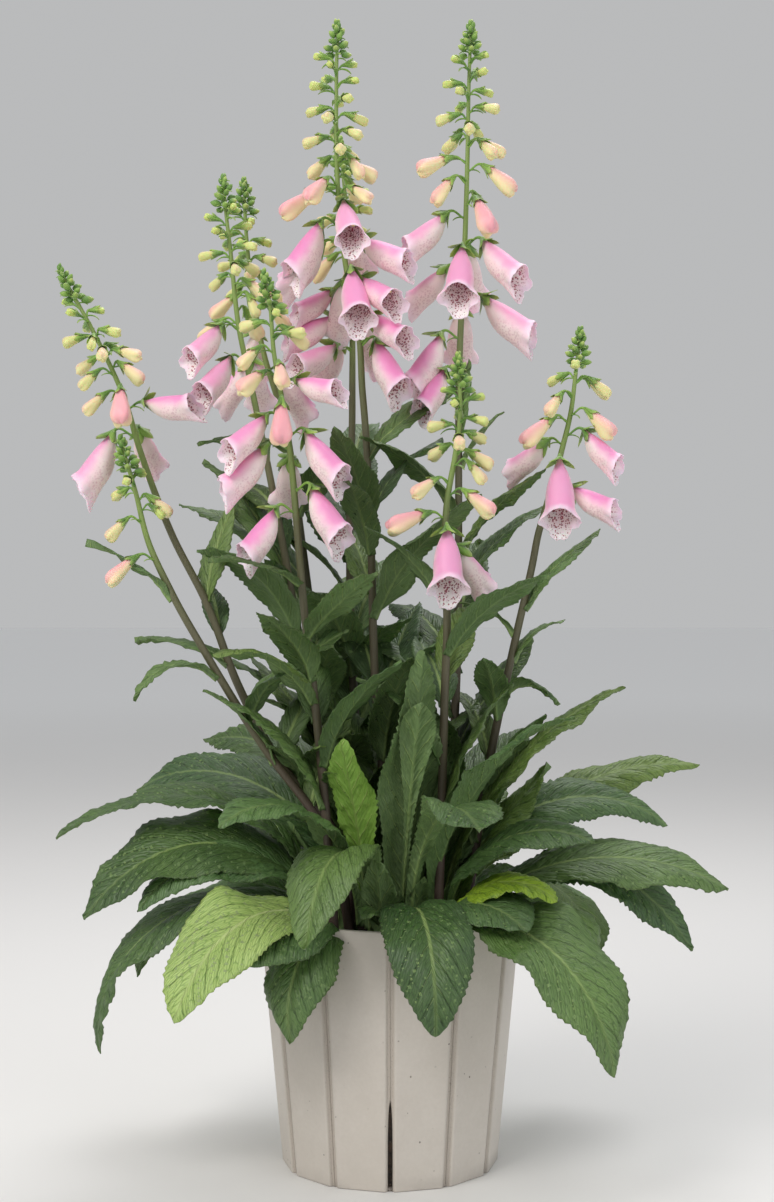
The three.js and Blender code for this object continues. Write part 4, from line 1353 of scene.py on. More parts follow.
@dataclass(frozen=True)
class Bell:
    """An open bell, in shares of its length: a narrow neck, a swollen throat and a flared, lobed mouth.

    Its lobes are the long lower one, the two at the sides and the low pair on the back.
    """

    columns: int = 40
    outer: Floats = (
        0, 0.03, 0.08, 0.15, 0.24, 0.34, 0.45, 0.56, 0.67, 0.77, 0.85, 0.91, 0.955, 0.985, 1.0,
    )
    inner: Floats = (1.0, 0.97, 0.92, 0.85, 0.74, 0.6, 0.44, 0.28, 0.15)
    knots: Knots = (
        (0, 0.03), (0.06, 0.042), (0.13, 0.073), (0.22, 0.118), (0.33, 0.162), (0.45, 0.194),
        (0.58, 0.212), (0.72, 0.217), (0.86, 0.211), (1.0, 0.214),
    )
    lobes: tuple[Lobe, ...] = (
        Lobe(math.pi, 0.76, 4.0, 0.085, 0.05),
        Lobe(1.62, 0.38, 2.8, 0.03, 0.115),
        Lobe(0.5, 0.4, 4.0, 0.02, 0.014),
    )
    flare: float = 0.004
    slant: float = 0.13  # how far the mouth's bottom reaches forward and its top stays back
    lip_from: float = 0.72
    crimp: Pair = (0.006, 0.007)  # outwards and forwards
    belly: float = 0.1
    pleat: float = 0.012
    wall: float = 0.0006

    def grow(self, skin: Skin, frames: Frames, rng: Rng) -> None:
        """Adds a bell at each frame, out over the back to the lip and in again to the throat.

        Args:
            skin: The skin that takes the bells.
            frames: Where they hang.
            rng: Gives how their lobes, crimps, pleats and tones differ.
        """
        count = len(frames.length)
        v = np.array(self.outer + self.inner)[None, :, None]
        inside = (np.arange(v.size) >= len(self.outer)).astype(float)[None, :, None]
        turn = round_turns(self.columns)
        length = frames.length[:, None, None]
        from_back = np.minimum(turn, TAU - turn)
        bumps = [bump(from_back, lobe.at, lobe.half, lobe.flatness) for lobe in self.lobes]
        vary = rng.uniform(0.8, 1.25, (count, 1, 1))
        reach = sum(lobe.reach * each for lobe, each in zip(self.lobes, bumps)) * vary
        flare = (sum(lobe.flare * each for lobe, each in zip(self.lobes, bumps)) + self.flare) * vary
        phases = rng.uniform(0, TAU, (3, count, 1, 1))
        lip = eased(v, self.lip_from, 1.0)
        crimp = (np.sin(9 * turn + phases[0]) + np.sin(14 * turn + phases[1])) * lip
        belly = 1 - self.belly * np.cos(turn) * np.sin(math.pi * v)
        pleat = 1 + self.pleat * np.sin(5 * turn + phases[2]) * np.sin(math.pi * v)
        radius = profile(v, self.knots) * belly * pleat + flare * lip**1.6 + self.crimp[0] * crimp
        forward = v + (reach - self.slant * np.cos(turn)) * lip + self.crimp[1] * crimp
        droop = -0.05 * np.sin(math.pi * np.minimum(v, 1.0) ** 0.9) - 0.03 * v**2
        radius = radius * length - self.wall * inside
        rings = frames.surface(forward * length, radius, turn, droop * length)
        tone = rng.uniform(0, 1, (count, 1, 1))
        skin.add(rings, share=v, upper=np.cos(turn), inside=inside, stage=1.0, tone=tone)


@dataclass(frozen=True)
class Bud:
    """A closed flower bud, in shares of its length: a club with four blunt lobes folded over its tip."""

    columns: int = 20
    rows: Floats = (0, 0.05, 0.13, 0.24, 0.36, 0.5, 0.63, 0.75, 0.84, 0.91, 0.955, 0.985, 0.998)
    knots: Knots = (
        (0, 0.036), (0.12, 0.07), (0.3, 0.118), (0.5, 0.162), (0.7, 0.196), (0.83, 0.204),
        (0.92, 0.176), (0.98, 0.112), (1, 0.04),
    )
    lobes: int = 4
    lobe_depth: Pair = (0.04, 0.12)  # at the base, and what the tip adds
    belly: float = 0.1
    droop: float = 0.1
    youngest: float = 0.01
    ripening: float = 0.034  # growth from the youngest to the last before opening
    ripest: float = 0.55  # the stage of the last

    def grow(self, skin: Skin, frames: Frames, rng: Rng) -> None:
        """Adds a bud at each frame; the longest are the nearest to opening.

        Args:
            skin: The skin that takes the buds.
            frames: Where they hang.
            rng: Gives how their turns, girths and tones differ.
        """
        count = len(frames.length)
        v = np.array(self.rows)[None, :, None]
        turn = round_turns(self.columns)
        length = frames.length[:, None, None]
        wave = np.cos(self.lobes * turn + rng.uniform(0, TAU, (count, 1, 1)))
        lobed = 1 + (self.lobe_depth[0] + self.lobe_depth[1] * eased(v, 0.55, 0.92)) * wave
        belly = 1 - self.belly * np.cos(turn) * np.sin(math.pi * v)
        radius = profile(v, self.knots) * lobed * belly * rng.uniform(0.92, 1.1, (count, 1, 1))
        forward = v + 0.02 * eased(v, 0.8, 1) * wave
        rings = frames.surface(forward * length, radius * length, turn, -self.droop * v**2 * length)
        stage = self.ripest * np.clip((length - self.youngest) / self.ripening, 0, 1)
        tone = rng.uniform(0, 1, (count, 1, 1))
        skin.add(rings, share=v, upper=np.cos(turn), inside=0.0, stage=stage, tone=tone)


@dataclass(frozen=True)
class Calyx:
    """Five pointed sepals that clasp a flower's base. Pairs: metres, and a share of the flower's length."""

    sepals: int = 5
    spread: float = 0.0  # lean of the sepals away from the flower, in radians
    rows: Floats = (0, 0.18, 0.4, 0.62, 0.84, 1.0)
    reach: Pair = (0.0092, 0.1)
    half: Pair = (0.003, 0.038)
    loose: Pair = (0.0006, 0.045)  # how far the points stand off
    thickness: float = 0.0005
    gap: float = 0.0002
    fold: float = 0.0004  # by which a sepal's edges come closer than its middle
    behind: float = 0.0006  # how far back from the flower's base a sepal starts

    def grow(self, skin: Skin, frames: Frames, knots: tuple, rng: Rng) -> None:
        """Adds the sepals of each frame's flower.

        Args:
            skin: The skin that takes the sepals.
            frames: Where the flowers hang.
            knots: The flowers' own profile, in shares of their length.
            rng: Gives how the sepals differ.
        """
        flowers = len(frames.length)
        picked = np.repeat(np.arange(flowers), self.sepals)
        shape = (len(picked), 1, 1)
        each = frames.chosen(picked)
        t = np.array(self.rows)[None, :, None]
        u = np.array((-1, 0, 1, 1, 0, -1))[None, None]
        outer = np.array((1, 1, 1, 0, 0, 0))[None, None]
        length = each.length[:, None, None]
        pairs = (self.reach, self.half, self.loose)
        reach, half, loose = (metres + share * length for metres, share in pairs)
        number = np.tile(np.arange(self.sepals), flowers)[:, None, None]
        middle = (number + 0.5) * TAU / self.sepals + rng.uniform(-0.12, 0.12, shape)
        reach = reach * rng.uniform(0.85, 1.15, shape)
        broad = half * (1 - t**2.2) * (0.75 + 0.6 * t)
        lean = self.spread * rng.uniform(0.55, 1.35, shape) * eased(t, -0.3, 0.3)
        forward = t * reach * np.cos(lean)
        flower = profile(forward / length, knots) * length
        flower = np.maximum(flower, profile(0 * t, knots) * length + t * reach * np.sin(lean))
        open_tip = rng.uniform(0.1, 1.0, shape) * loose * eased(t, 0.35, 1)
        skinned = self.thickness * outer - self.fold * np.abs(u) * outer
        turn = middle + np.clip(u * broad / np.maximum(flower, 0.001), -0.8, 0.8)
        rings = each.surface(forward - self.behind, flower + self.gap + skinned + open_tip, turn)
        skin.add(rings, share=t, tone=rng.uniform(0, 1, shape), pale=0.35)


def straps(paths: Array, half: Array, up: Array, thickness: float = 0.0005) -> Array:
    """Narrow blades along paths: flat on top, and a little folded up along the middle.

    Args:
        paths: (copies, rows, 3) points.
        half: (copies, rows) half-widths.
        up: (copies, 3) the way each blade faces at its base.
        thickness: Of the blade.

    Returns:
        (copies, rows, 6, 3) rings.
    """
    along = unit(np.gradient(paths, axis=1))
    across = unit(np.cross(up[:, None], along))
    above = np.cross(along, across)
    u = np.array((1, 0, -1, -1, 0, 1))
    lower = np.array((0, 0, 0, 1, 1, 1)) * thickness
    beside = u * half[..., None]
    lift = np.abs(beside) * 0.35 - lower
    return paths[:, :, None] + across[:, :, None] * beside[..., None] + above[:, :, None] * lift[..., None]


class Coat(Enum):
    """The finishes of a stalk's pieces, besides its leaves'."""

    STEM = "stem"
    PETAL = "petal"
    GREEN = "green"
    STAMEN = "stamen"


@dataclass(frozen=True)
class Stalk:
    """One flower stalk: its stem, the leaves on it, and the spike of bells and buds."""

    plan: StalkPlan
    index: int
    seed: int
    root: float = 0.183  # where the stem's foot is, below the soil's top
    foot_radius: float = 0.0043
    spike_radius: float = 0.0031
    tip_radius: float = 0.0014
    open_length: float = 0.044  # flowers shorter than this are closed buds
    bud_pace: float = 0.005  # between buds above the planned flowers
    fewest_buds: int = 4
    tip_height: float = 0.03  # of the tight green cluster above the last loose bud
    tip_buds: int = 22
    bract: float = 0.014
    stem_rows: int = 90
    stem_sides: int = 14

    @property
    def _top(self) -> float:
        """The height of the stem's tip."""
        return self.plan.stem[-1][2]

    def _on_stem(self, height: Array) -> Array:
        """Points of the stem at heights: a smooth curve in x and y by height."""
        knots = np.array(self.plan.stem)
        slopes = np.gradient(knots, knots[:, 2], axis=0)
        return hermite(np.asarray(height, float), knots[:, 2], knots, slopes)

    def build(self, finishes: dict[Coat, Material], leaf: Material) -> None:
        """Builds the stem, its leaves, the bells and buds, their greens and the stamens.

        Args:
            finishes: The finish of each coat.
            leaf: The leaves' finish.
        """
        rng = np.random.default_rng(self.seed)
        name = self.plan.name
        stalk, spike = f"stalk_{name}", f"spike_{name}"
        parts = (
            (self._stem(), f"stem_{name}", finishes[Coat.STEM], (stalk, spike), "stem"),
            (self._leaves(), f"stem_leaves_{name}", leaf, (stalk,), "leaf"),
            (self._flowers(rng), f"flowers_{name}", finishes[Coat.PETAL], (spike,), "flower"),
            (self._greens(rng), f"greens_{name}", finishes[Coat.GREEN], (spike,), "stem"),
            (self._stamens(rng), f"stamens_{name}", finishes[Coat.STAMEN], (spike,), "flower"),
        )
        for skin, piece_name, material, nodes, slot in parts:
            if skin.count:
                piece = skin.build(piece_name, material)
                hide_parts(*nodes)

    def _stem(self) -> Skin:
        """The stem, which tapers evenly up to the spike and then to its tip."""
        height = np.linspace(self.root, self._top - 0.001, self.stem_rows)
        from_heights = (self.root, self.plan.spike_from, self._top)
        radius = np.interp(height, from_heights, (self.foot_radius, self.spike_radius, self.tip_radius))
        ripe = np.interp(height, from_heights, (0.0, 0.5, 1.0))
        skin = Skin()
        rings = swept(self._on_stem(height)[None], radius[None], self.stem_sides)
        skin.add(rings, ripe=ripe[None, :, None])
        return skin

    def _leaves(self) -> Skin:
        """The leaves on the stem, which clasp it without a stalk of their own."""
        skin = Skin()
        rng = np.random.default_rng(self.seed + 50)
        rows = (*self.plan.leaves, *self.plan.spiral_leaves(self.index, Spiral()))
        for number, (height, side, length, width, lift, tip_lift) in enumerate(rows):
            base = tuple(self._on_stem(height))
            Blade(
                base, side, length, width, lift, tip_lift, rng.uniform(-15, 15),
                seed=self.seed + 60 + number, tooth=0.0065, petiole_end=0.05, petiole_rows=3,
                petiole_share=0.24, widest_at=0.47, pucker=0.0016, vein_pace=0.017,
                across_stations=(1, 0.9, 0.7, 0.45, 0.22, 0.06),
            ).grow(skin)
        return skin

    def _planned(self) -> tuple[Frames, Array, Array]:
        """Every planned flower's frame, the height of its base, and the side it faces."""
        heights, sides, dips, lengths = np.array(self.plan.flowers).T
        out = 0.006 + 0.2 * lengths
        base = self._on_stem(heights) + direction(sides, 0) * out[:, None]
        return Frames.at(base, sides, dips, lengths), heights, sides

    def _upper_buds(self) -> tuple[Frames, Array, Array]:
        """The buds above the planned flowers, in a spiral: smaller and more level towards the tip."""
        rng = np.random.default_rng(self.seed + 7)
        low, high = self.plan.buds_from, self._top - self.tip_height
        count = max(self.fewest_buds, round((high - low) / self.bud_pace))
        f = np.linspace(0, 1, count)
        heights = low + (high - low) * f
        sides = np.arange(count) * GOLDEN_TURN + rng.uniform(-15, 15, count)
        dips = 28 - 45 * f + rng.uniform(-8, 8, count)
        lengths = (0.0285 - 0.015 * f**0.8) * rng.uniform(0.9, 1.12, count)
        base = self._on_stem(heights) + direction(sides, 0) * (0.0035 + 0.16 * lengths[:, None])
        return Frames.at(base, sides, dips, lengths), heights, sides

    def _flowers(self, rng: Rng) -> Skin:
        """Open bells, closed buds, and the smaller buds above them."""
        skin = Skin()
        frames, _, _ = self._planned()
        is_open = frames.length >= self.open_length
        if is_open.any():
            Bell().grow(skin, frames.chosen(is_open), rng)
        Bud().grow(skin, frames.chosen(~is_open), rng)
        Bud(columns=12).grow(skin, self._upper_buds()[0], rng)
        return skin

    def _greens(self, rng: Rng) -> Skin:
        """Calyxes, stalklets, bracts, and the small green buds up to the tip."""
        skin = Skin()
        frames, heights, sides = self._planned()
        is_open = frames.length >= self.open_length
        for calyx, kind, keep in ((Calyx(spread=0.7), Bell(), is_open), (Calyx(), Bud(), ~is_open)):
            if keep.any():
                calyx.grow(skin, frames.chosen(keep), kind.knots, rng)
        upper, upper_heights, upper_sides = self._upper_buds()
        Calyx().grow(skin, upper, Bud().knots, rng)
        heights, sides = np.concatenate([heights, upper_heights]), np.concatenate([sides, upper_sides])
        start = self._on_stem(heights - 0.006)
        self._add_stalklets(skin, frames.and_then(upper), start, sides, rng)
        self._add_bracts(skin, start, sides, np.full(len(heights), self.bract), rng)
        self._add_tip(skin, rng)
        return skin

    @staticmethod
    def _add_stalklets(
        skin: Skin, frames: Frames, start: Array, sides: Array, rng: Rng
    ) -> None:
        """Adds the short arched stalk of each flower or bud, which thickens into its calyx.

        Args:
            skin: The skin that takes the stalklets.
            frames: Where the flowers and buds hang.
            start: Where the stalklets leave the stem.
            sides: The side that each leaves it to.
            rng: Gives their tones.
        """
        rows, columns = 9, 8
        gap = np.linalg.norm(frames.base - start, axis=1)[:, None]
        first, second = start + direction(sides, 25) * gap * 0.5, frames.base - frames.way * gap * 0.45
        paths = bent(start, first, second, frames.base + frames.way * 0.0012, rows)
        radii = (0.001 + 0.0009 * np.linspace(0, 1, rows) ** 4) * (0.7 + 6 * frames.length[:, None])
        tone = rng.uniform(0, 1, (len(sides), 1, 1))
        skin.add(swept(paths, radii, columns), share=0.1, tone=tone, pale=0.0)

    @staticmethod
    def _add_bracts(skin: Skin, start: Array, sides: Array, lengths: Array, rng: Rng) -> None:
        """Adds a narrow green bract under each flower or bud.

        Args:
            skin: The skin that takes the bracts.
            start: Their bases, on the stem.
            sides: The sides that their flowers face.
            lengths: Their mean lengths.
            rng: Gives how they differ.
        """
        rows = 7
        reach = (lengths * rng.uniform(0.8, 1.2, len(lengths)))[:, None]
        lifts = rng.uniform(-5, 35, len(lengths))
        turn = sides + rng.uniform(-25, 25, len(lengths))
        bends = ((35, 0.35), (10, 0.75), (-10, 1.0))  # degrees above the lift, and share of the reach
        knots = (start + direction(turn, lifts + more) * reach * share for more, share in bends)
        paths = bent(start, *knots, rows)
        t = np.linspace(0, 1, rows)
        half = reach * 0.15 * (0.35 + 1.6 * t) * (1 - t**1.6) + 0.0002
        rings = straps(paths, half, direction(turn, 80))
        skin.add(rings, share=t[None, :, None], tone=rng.uniform(0, 1, (len(lengths), 1, 1)), pale=0.3)

    def _add_tip(self, skin: Skin, rng: Rng) -> None:
        """Adds the tight cluster of tiny buds at the tip, each in its own closed calyx, turning upwards."""
        count, columns = self.tip_buds, 10
        f = np.linspace(0, 1, count)
        heights = self._top - self.tip_height + 0.002 + (self.tip_height - 0.0025) * f
        sides = np.arange(count) * GOLDEN_TURN + rng.uniform(-12, 12, count)
        lifts = 10 + 75 * f**1.3 + rng.uniform(-8, 8, count)
        lengths = (0.0098 - 0.004 * f) * rng.uniform(0.88, 1.12, count)
        stem = self._on_stem(heights)
        base = stem + direction(sides, 0) * (0.0042 - 0.0038 * f)[:, None]
        frames = Frames.at(base, sides, -lifts, lengths)
        v = np.array((0, 0.08, 0.25, 0.45, 0.65, 0.82, 0.94, 1.0))[None, :, None]
        turn = round_turns(columns)
        knots = ((0, 0.12), (0.25, 0.27), (0.5, 0.31), (0.75, 0.24), (0.9, 0.13), (1, 0.03))
        radius = profile(v, knots) * (1 + 0.1 * np.cos(5 * turn))
        size = lengths[:, None, None]
        rings = frames.surface(v * size, radius * size, turn, -0.05 * v**2 * size)
        tone, pale = rng.uniform(0, 0.6, (count, 1, 1)), rng.uniform(0.0, 0.7, (count, 1, 1))
        skin.add(rings, share=v, tone=tone, pale=pale)
        self._add_bracts(skin, stem - (0, 0, 0.003), sides, 0.011 - 0.005 * f, rng)

    def _stamens(self, rng: Rng) -> Skin:
        """Four stamens under the back of each open bell: a white thread with a yellow anther."""
        skin = Skin()
        frames, _, _ = self._planned()
        frames = frames.chosen(frames.length >= self.open_length)
        flowers = len(frames.length)
        if not flowers:
            return skin
        besides, aheads = (-0.075, -0.03, 0.03, 0.075), (0.62, 0.74, 0.7, 0.58)
        each = frames.chosen(np.repeat(np.arange(flowers), len(besides)))
        length = each.length[:, None]
        ahead = np.tile(aheads, flowers)[:, None] + rng.uniform(-0.04, 0.04, length.shape)
        aside = each.sideways * np.tile(besides, flowers)[:, None] * length
        forth, back = each.way * length, each.back * length
        start = each.base + forth * 0.15
        first = start + forth * 0.2 + aside * 1.4
        end = each.base + forth * ahead + aside + back * 0.085
        paths = bent(start, first, first + forth * 0.15 + back * 0.04, end, 8)
        skin.add(swept(paths, 0.0004, 6), tone=0.0)
        pod = np.linspace(-1, 1, 7)[:, None]
        beans = end[:, None] + (each.sideways[:, None] * pod + each.way[:, None] * 0.3 * pod**2) * 0.0016
        girth = 0.0011 * np.sqrt(np.maximum(1 - pod[:, 0] ** 2, 0.02))
        skin.add(swept(beans, girth[None], 8), tone=1.0)
        return skin


# ---- Pot and soil ----


@dataclass(frozen=True)
class Pot:
    """A tapering planter of flat boards with a groove between each two, the front one open low down."""

    boards: int = 12
    height: float = 0.217
    top_radius: float = 0.115  # to the corners
    base_radius: float = 0.0945
    wall: float = 0.004
    floor: float = 0.004
    groove_half: float = 0.00325
    groove_depth: float = 0.0022
    bevel: float = 0.006
    bevel_depth: float = 0.0009
    rounding: float = 0.0012  # of the foot and the rim
    slot_height: float = 0.078
    slot_half: float = 0.0029  # at the bottom; it closes towards its top
    near_corner: Floats = (0.0006, 0.0017, 0.0027, 0.0031, 0.0034, 0.0038, 0.0047, 0.006, 0.0085)
    along_board: Floats = (0.3, 0.42, 0.5, 0.58, 0.7)

    def radius_at(self, z: Array) -> Array:
        """Distance from the axis to the corners, at heights."""
        return self.base_radius + (self.top_radius - self.base_radius) * z / self.height

    def _heights(self) -> tuple[Array, Array]:
        """The heights of the rings.

        Returns:
            Those up the outside, and all: up, four over the rim, down the inside, and two on the floor.
        """
        beside_slot = np.linspace(0.004, self.slot_height, 22)
        above_slot = np.linspace(self.slot_height + 0.004, self.height - 0.0015, 26)
        outside = np.concatenate([(0.0, 0.0004, self.rounding), beside_slot, above_slot])
        shoulder = self.height - 0.0004
        rim = (shoulder, self.height, self.height, shoulder)
        inside = outside[outside > self.floor * 1.05][::-1]
        return outside, np.concatenate([outside, rim, inside, (self.floor, self.floor)])

    def _shares(self, heights: Array, chord: Array) -> Array:
        """How far along its board each column stands, with the slot's two edges moved apart at the front.

        Args:
            heights: (rows,) of the rings.
            chord: (rows,) widths of a board.

        Returns:
            (rows, boards, columns) shares, from a board's left corner to its right one.
        """
        near = np.array(self.near_corner)
        left = near / chord[:, None]
        middle = np.broadcast_to(self.along_board, (len(heights), len(self.along_board)))
        share = np.concatenate([left, middle, 1 - left[:, ::-1]], axis=1)
        share = np.repeat(share[:, None], self.boards, axis=1)
        spread = np.clip(1 - (heights / self.slot_height) ** 5, 0, 1) ** 0.6 * (self.slot_half - near[0])
        widened = (near + spread[:, None] * np.exp(-(near - near[0]) / 0.004)) / chord[:, None]
        edge = np.where((heights <= self.slot_height + SLACK)[:, None], widened, left)
        share[:, 0, : len(near)] = edge
        share[:, -1, -len(near) :] = 1 - edge[:, ::-1]
        return share

    def _insets(self, distance: Array, outside: int) -> Array:
        """How far each point lies in from its board's face: the grooves outside, and the wall inside.

        Args:
            distance: (rows, boards, columns) distances from the nearer corner.
            outside: How many rows the outside has.

        Returns:
            The insets, in the same shape.
        """
        row = np.arange(len(distance))[:, None, None]
        depth = self.groove_depth * (1 - eased(distance, self.groove_half * 0.86, self.groove_half * 1.14))
        depth = depth + self.bevel_depth * (1 - eased(distance, self.groove_half, self.bevel)) ** 2
        rounded = {
            0: depth + self.rounding,
            outside: depth + 0.0003,
            outside + 1: depth * 0.5 + self.rounding,
            outside + 2: self.wall - self.rounding,
        }
        inset = np.where(row < outside, depth, self.wall)
        for number, rounded_inset in rounded.items():
            inset = np.where(row == number, rounded_inset, inset)
        return inset

    def build(self, material: Material) -> None:
        """Builds the pot as one skin: up the outside, over the rim, down the inside and across the floor."""
        outside, heights = self._heights()
        rows = len(heights)
        radius = self.radius_at(heights)
        chord = 2 * radius * math.sin(math.pi / self.boards)
        share = self._shares(heights, chord)
        distance = np.minimum(share, 1 - share) * chord[:, None, None]
        step = TAU / self.boards
        turn = (np.arange(self.boards)[:, None] * step - math.pi / 2)[None]
        turns = (turn, turn + step / 2, turn + step)
        corner, outward, after = (np.stack([np.cos(a), np.sin(a)], axis=-1) for a in turns)
        flat = corner * (1 - share[..., None]) + after * share[..., None]
        point = flat * radius[:, None, None, None] - outward * self._insets(distance, len(outside))[..., None]
        point[-1] *= 0.5
        high = np.broadcast_to(heights[:, None, None, None], (*point.shape[:3], 1))
        rings = np.concatenate([point, high], axis=-1).reshape(rows, -1, 3)
        groove = (1 - eased(distance, self.groove_half * 0.8, self.groove_half * 1.35)).reshape(rows, -1)
        within = (np.arange(rows) > len(outside) + 2)[:, None]
        skin = Skin()
        share = heights[:, None] / self.height
        skin.add(rings, groove=groove * ~within, share=share, inside=within.astype(float))
        self._open_slot(skin, heights, len(outside), rings.shape[1])
        piece = skin.build("pot_boards", material)
        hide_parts("pot")

    def _open_slot(self, skin: Skin, heights: Array, outside: int, columns: int) -> None:
        """Leaves out the faces between the two edges of the front slot, and lines it between the walls.

        Args:
            skin: The skin that holds the pot.
            heights: The rings' heights.
            outside: How many rings the outside has.
            columns: Points on a ring; the slot lies between the last and the first.
        """
        last = columns - 1
        low, high = 1, int(np.searchsorted(heights[:outside], self.slot_height))
        first_inner = outside + 4
        apart = np.abs(heights[first_inner:] - heights[low : high + 1, None])
        inner = (first_inner + apart.argmin(axis=1)).tolist()
        quads = skin.quads[0]
        row_of = quads.min(axis=1) // columns
        is_seam = (quads % columns == last).any(axis=1) & (quads % columns == 0).any(axis=1)
        in_outer = (row_of >= low) & (row_of < high)
        in_inner = (row_of >= min(inner)) & (row_of < max(inner))
        kept = quads[~(is_seam & (in_outer | in_inner))]
        jambs = []
        for near, far in zip(range(low, high), range(high - low)):
            a, b = inner[far] * columns, inner[far + 1] * columns
            c, d = near * columns, (near + 1) * columns
            jambs.append((c, a, b, d))
            jambs.append((c + last, d + last, b + last, a + last))
        top = (high * columns + last, high * columns, inner[-1] * columns, inner[-1] * columns + last)
        bottom = (low * columns, low * columns + last, inner[0] * columns + last, inner[0] * columns)
        lining = [quad for quad in jambs if len(set(quad)) == 4]
        skin.quads[0] = np.concatenate([kept, np.array([*lining, top, bottom])])


@dataclass(frozen=True)
class Soil:
    """The potting mix: a lumpy top, with loose chips of bark and grit on it."""

    pot: Pot
    top: float = SOIL_TOP
    gap: float = 0.0003
    wall_gap: float = 0.0007  # from the pot's wall
    columns: int = 108
    chips: int = 420
    chip_room: float = 0.102  # from the axis
    lump_sizes: Knots = ((0.0016, 0.03), (0.0011, 0.011), (0.0008, 0.005))
    seed: int = 5

    def build(self, material: Material) -> None:
        """Builds the soil's body and its chips as one piece."""
        rng = np.random.default_rng(self.seed)
        skin = Skin()
        turn = np.arange(self.columns) * TAU / self.columns
        corner = TAU / self.pot.boards
        flat = math.cos(corner / 2) / np.cos((turn + math.pi / 2) % corner - corner / 2)
        foot, shoulder = self.pot.floor + self.gap, self.top - 0.004
        heights = np.array((foot, 0.03, 0.06, 0.09, 0.13, 0.17, shoulder))[:, None]
        inset = self.pot.wall + self.wall_gap
        radius = (self.pot.radius_at(heights) - inset) * flat
        shares = np.concatenate([(0.997, 0.99, 0.975), np.linspace(0.95, 0.05, 26)])[:, None]
        rim = (self.pot.radius_at(self.top) - inset) * flat * shares
        x, y = np.cos(turn) * rim, np.sin(turn) * rim
        uneven = sum(height * lumps(x, y, size, rng) for height, size in self.lump_sizes)
        z = self.top + uneven - 0.003 * eased(shares, 0.9, 1.0)
        high = np.broadcast_to(heights, radius.shape)
        wall = np.stack([np.cos(turn) * radius, np.sin(turn) * radius, high], axis=-1)
        skin.add(np.concatenate([wall, np.stack([x, y, z], axis=-1)]), tone=0.2)
        self._add_chips(skin, rng)
        piece = skin.build("potting_mix", material)
        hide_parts("soil")

    def _add_chips(self, skin: Skin, rng: Rng) -> None:
        """Scatters chips, each a small uneven slab, over the top."""
        count, sides = self.chips, 7
        away = np.sqrt(rng.uniform(0, 1, count)) * self.chip_room
        side = rng.uniform(0, 360, count)
        centre = direction(side, 0) * away[:, None] + (0, 0, self.top + 0.0012)
        along = direction(rng.uniform(0, 360, count), rng.uniform(-15, 15, count))
        lengths = rng.uniform(0.0015, 0.0075, (count, 1)) * rng.uniform(0.4, 1, (count, 1))
        stations, girths = np.array((-1, -0.85, 0, 0.85, 1)), np.array((0.5, 0.9, 1, 0.85, 0.4))
        paths = centre[:, None] + along[:, None] * lengths[..., None] * stations[:, None]
        rings = swept(paths, lengths * rng.uniform(0.35, 0.8, (count, 1)) * girths, sides)
        squash = (rings - centre[:, None, None]) * (1, 1, 0.5)
        squash = squash * rng.uniform(0.8, 1.2, (count, len(stations), sides, 1))
        skin.add(centre[:, None, None] + squash, tone=rng.uniform(0, 1, (count, 1, 1)) ** 2)


# ---- Studio ----


@dataclass(frozen=True)
class Lamp:
    """A square soft light, turned to a point on the pot's axis."""

    name: str
    place: Triple
    target_height: float
    size: float
    power: float
    colour: Colour

    def hang(self) -> None:
        """Puts the light into the scene."""
        lamp = bpy.data.lights.new(self.name, "AREA")
        lamp.size, lamp.energy, lamp.color = self.size, self.power, self.colour
        holder = bpy.data.objects.new(self.name, lamp)
        holder.location = self.place
        ray = Vector((0.0, 0.0, self.target_height)) - Vector(self.place)
        holder.rotation_euler = ray.to_track_quat("-Z", "Y").to_euler()
        bpy.context.scene.collection.objects.link(holder)


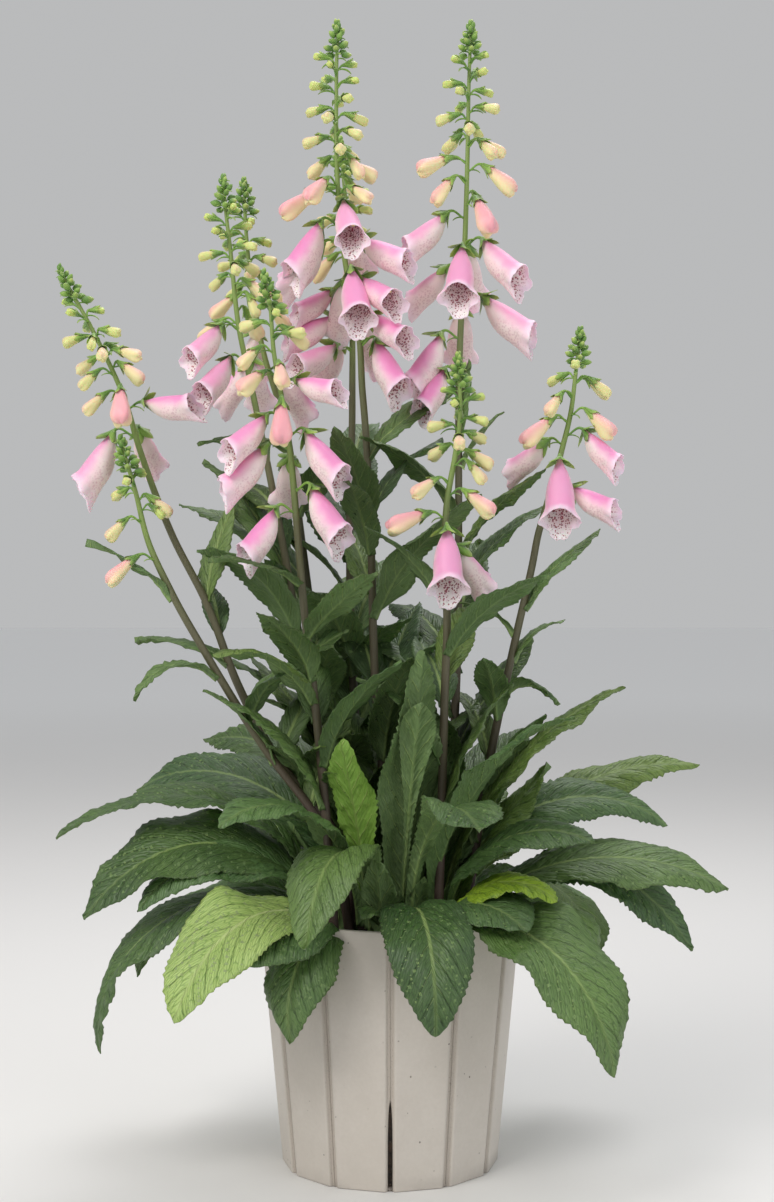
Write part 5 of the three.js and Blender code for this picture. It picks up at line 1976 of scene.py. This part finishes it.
@dataclass(frozen=True)
class Studio:
    """A pale floor, soft lights and the camera."""

    floor_half: float = 30.0
    camera_place: Triple = (-0.0026, -1.547, 0.4843)
    lens: float = 53.2
    room: Colour = (0.98, 0.99, 1.0)
    room_strength: float = 0.5
    lamps: tuple[Lamp, ...] = (
        Lamp("key", (-1.5, -1.7, 2.2), 0.5, 1.5, 52.0, (1.0, 0.97, 0.93)),
        Lamp("fill", (1.9, -1.5, 1.1), 0.45, 1.6, 14.0, (0.95, 0.97, 1.0)),
        Lamp("top", (0.4, 0.9, 2.6), 0.5, 1.4, 30.0, (1.0, 1.0, 1.0)),
    )

    def build(self) -> None:
        """Lays the floor, hangs the lights and sets the camera."""
        self._lay_floor()
        for lamp in self.lamps:
            lamp.hang()
        self._set_world()
        self._set_camera()
        bpy.context.scene.view_settings.view_transform = "Standard"

    def _lay_floor(self) -> None:
        """Lays a large level floor in its own pale finish."""
        h = self.floor_half
        mesh = bpy.data.meshes.new("floor")
        mesh.from_pydata([(-h, -h, 0), (h, -h, 0), (h, h, 0), (-h, h, 0)], [], [(0, 1, 2, 3)])
        mesh.materials.append(FloorFinish().make())
        floor = bpy.data.objects.new("floor", mesh)
        bpy.context.scene.collection.objects.link(floor)

    def _set_world(self) -> None:
        """Sets an even pale light from all round."""
        world = bpy.data.worlds.new("soft_room")
        world.use_nodes = True
        background = world.node_tree.nodes["Background"]
        background.inputs["Color"].default_value = (*self.room, 1.0)
        background.inputs["Strength"].default_value = self.room_strength
        bpy.context.scene.world = world

    def _set_camera(self) -> None:
        """Stands the camera in front, level, at half the plant's height."""
        data = bpy.data.cameras.new("camera")
        data.lens = self.lens
        camera = bpy.data.objects.new("camera", data)
        camera.location = self.camera_place
        camera.rotation_euler = (math.radians(90), 0, 0)
        bpy.context.scene.collection.objects.link(camera)
        bpy.context.scene.camera = camera


# ---- Assembly ----


LEAF_FINISHES = {
    Tint.GREEN: LeafFinish(
        "leaf_green", deep=(0.04, 0.086, 0.024), fresh=(0.128, 0.215, 0.058),
        vein=(0.33, 0.45, 0.15), under=(0.122, 0.195, 0.072),
    ),
    # painted light: a brighter, yellower copy of the green leaf, as if lit through from behind
    Tint.LIME: LeafFinish(
        "leaf_lime", deep=(0.11, 0.23, 0.014), fresh=(0.24, 0.4, 0.035),
        vein=(0.45, 0.57, 0.16), under=(0.2, 0.35, 0.05),
    ),
    # painted light: a brighter, yellower copy of the green leaf, as if lit through from behind
    Tint.YELLOW: LeafFinish(
        "leaf_yellow", deep=(0.15, 0.28, 0.04), fresh=(0.4, 0.52, 0.15),
        vein=(0.54, 0.62, 0.28), under=(0.3, 0.37, 0.17),
    ),
}
COATS = {
    Coat.STEM: StemFinish(),
    Coat.PETAL: PetalFinish(),
    Coat.GREEN: GreenFinish(),
    Coat.STAMEN: AntherFinish(),
}
FIRST_STALK_SEED = 1000
STALK_SEED_STEP = 100


def main() -> None:
    """Builds the potted foxglove around the frame."""
    logging.basicConfig(level=logging.INFO, format="%(message)s")
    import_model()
    leaves = {tint: finish.make() for tint, finish in LEAF_FINISHES.items()}
    coats = {coat: finish.make() for coat, finish in COATS.items()}
    pot = Pot()
    pot.build(PotFinish().make())
    Soil(pot).build(SoilFinish().make())
    Foliage(BASAL_LEAVES, leaves).build()
    for number, plan in enumerate(STALKS):
        Stalk(plan, number, FIRST_STALK_SEED + STALK_SEED_STEP * number).build(coats, leaves[Tint.GREEN])
    Studio().build()


if __name__ == "__main__":
    main()
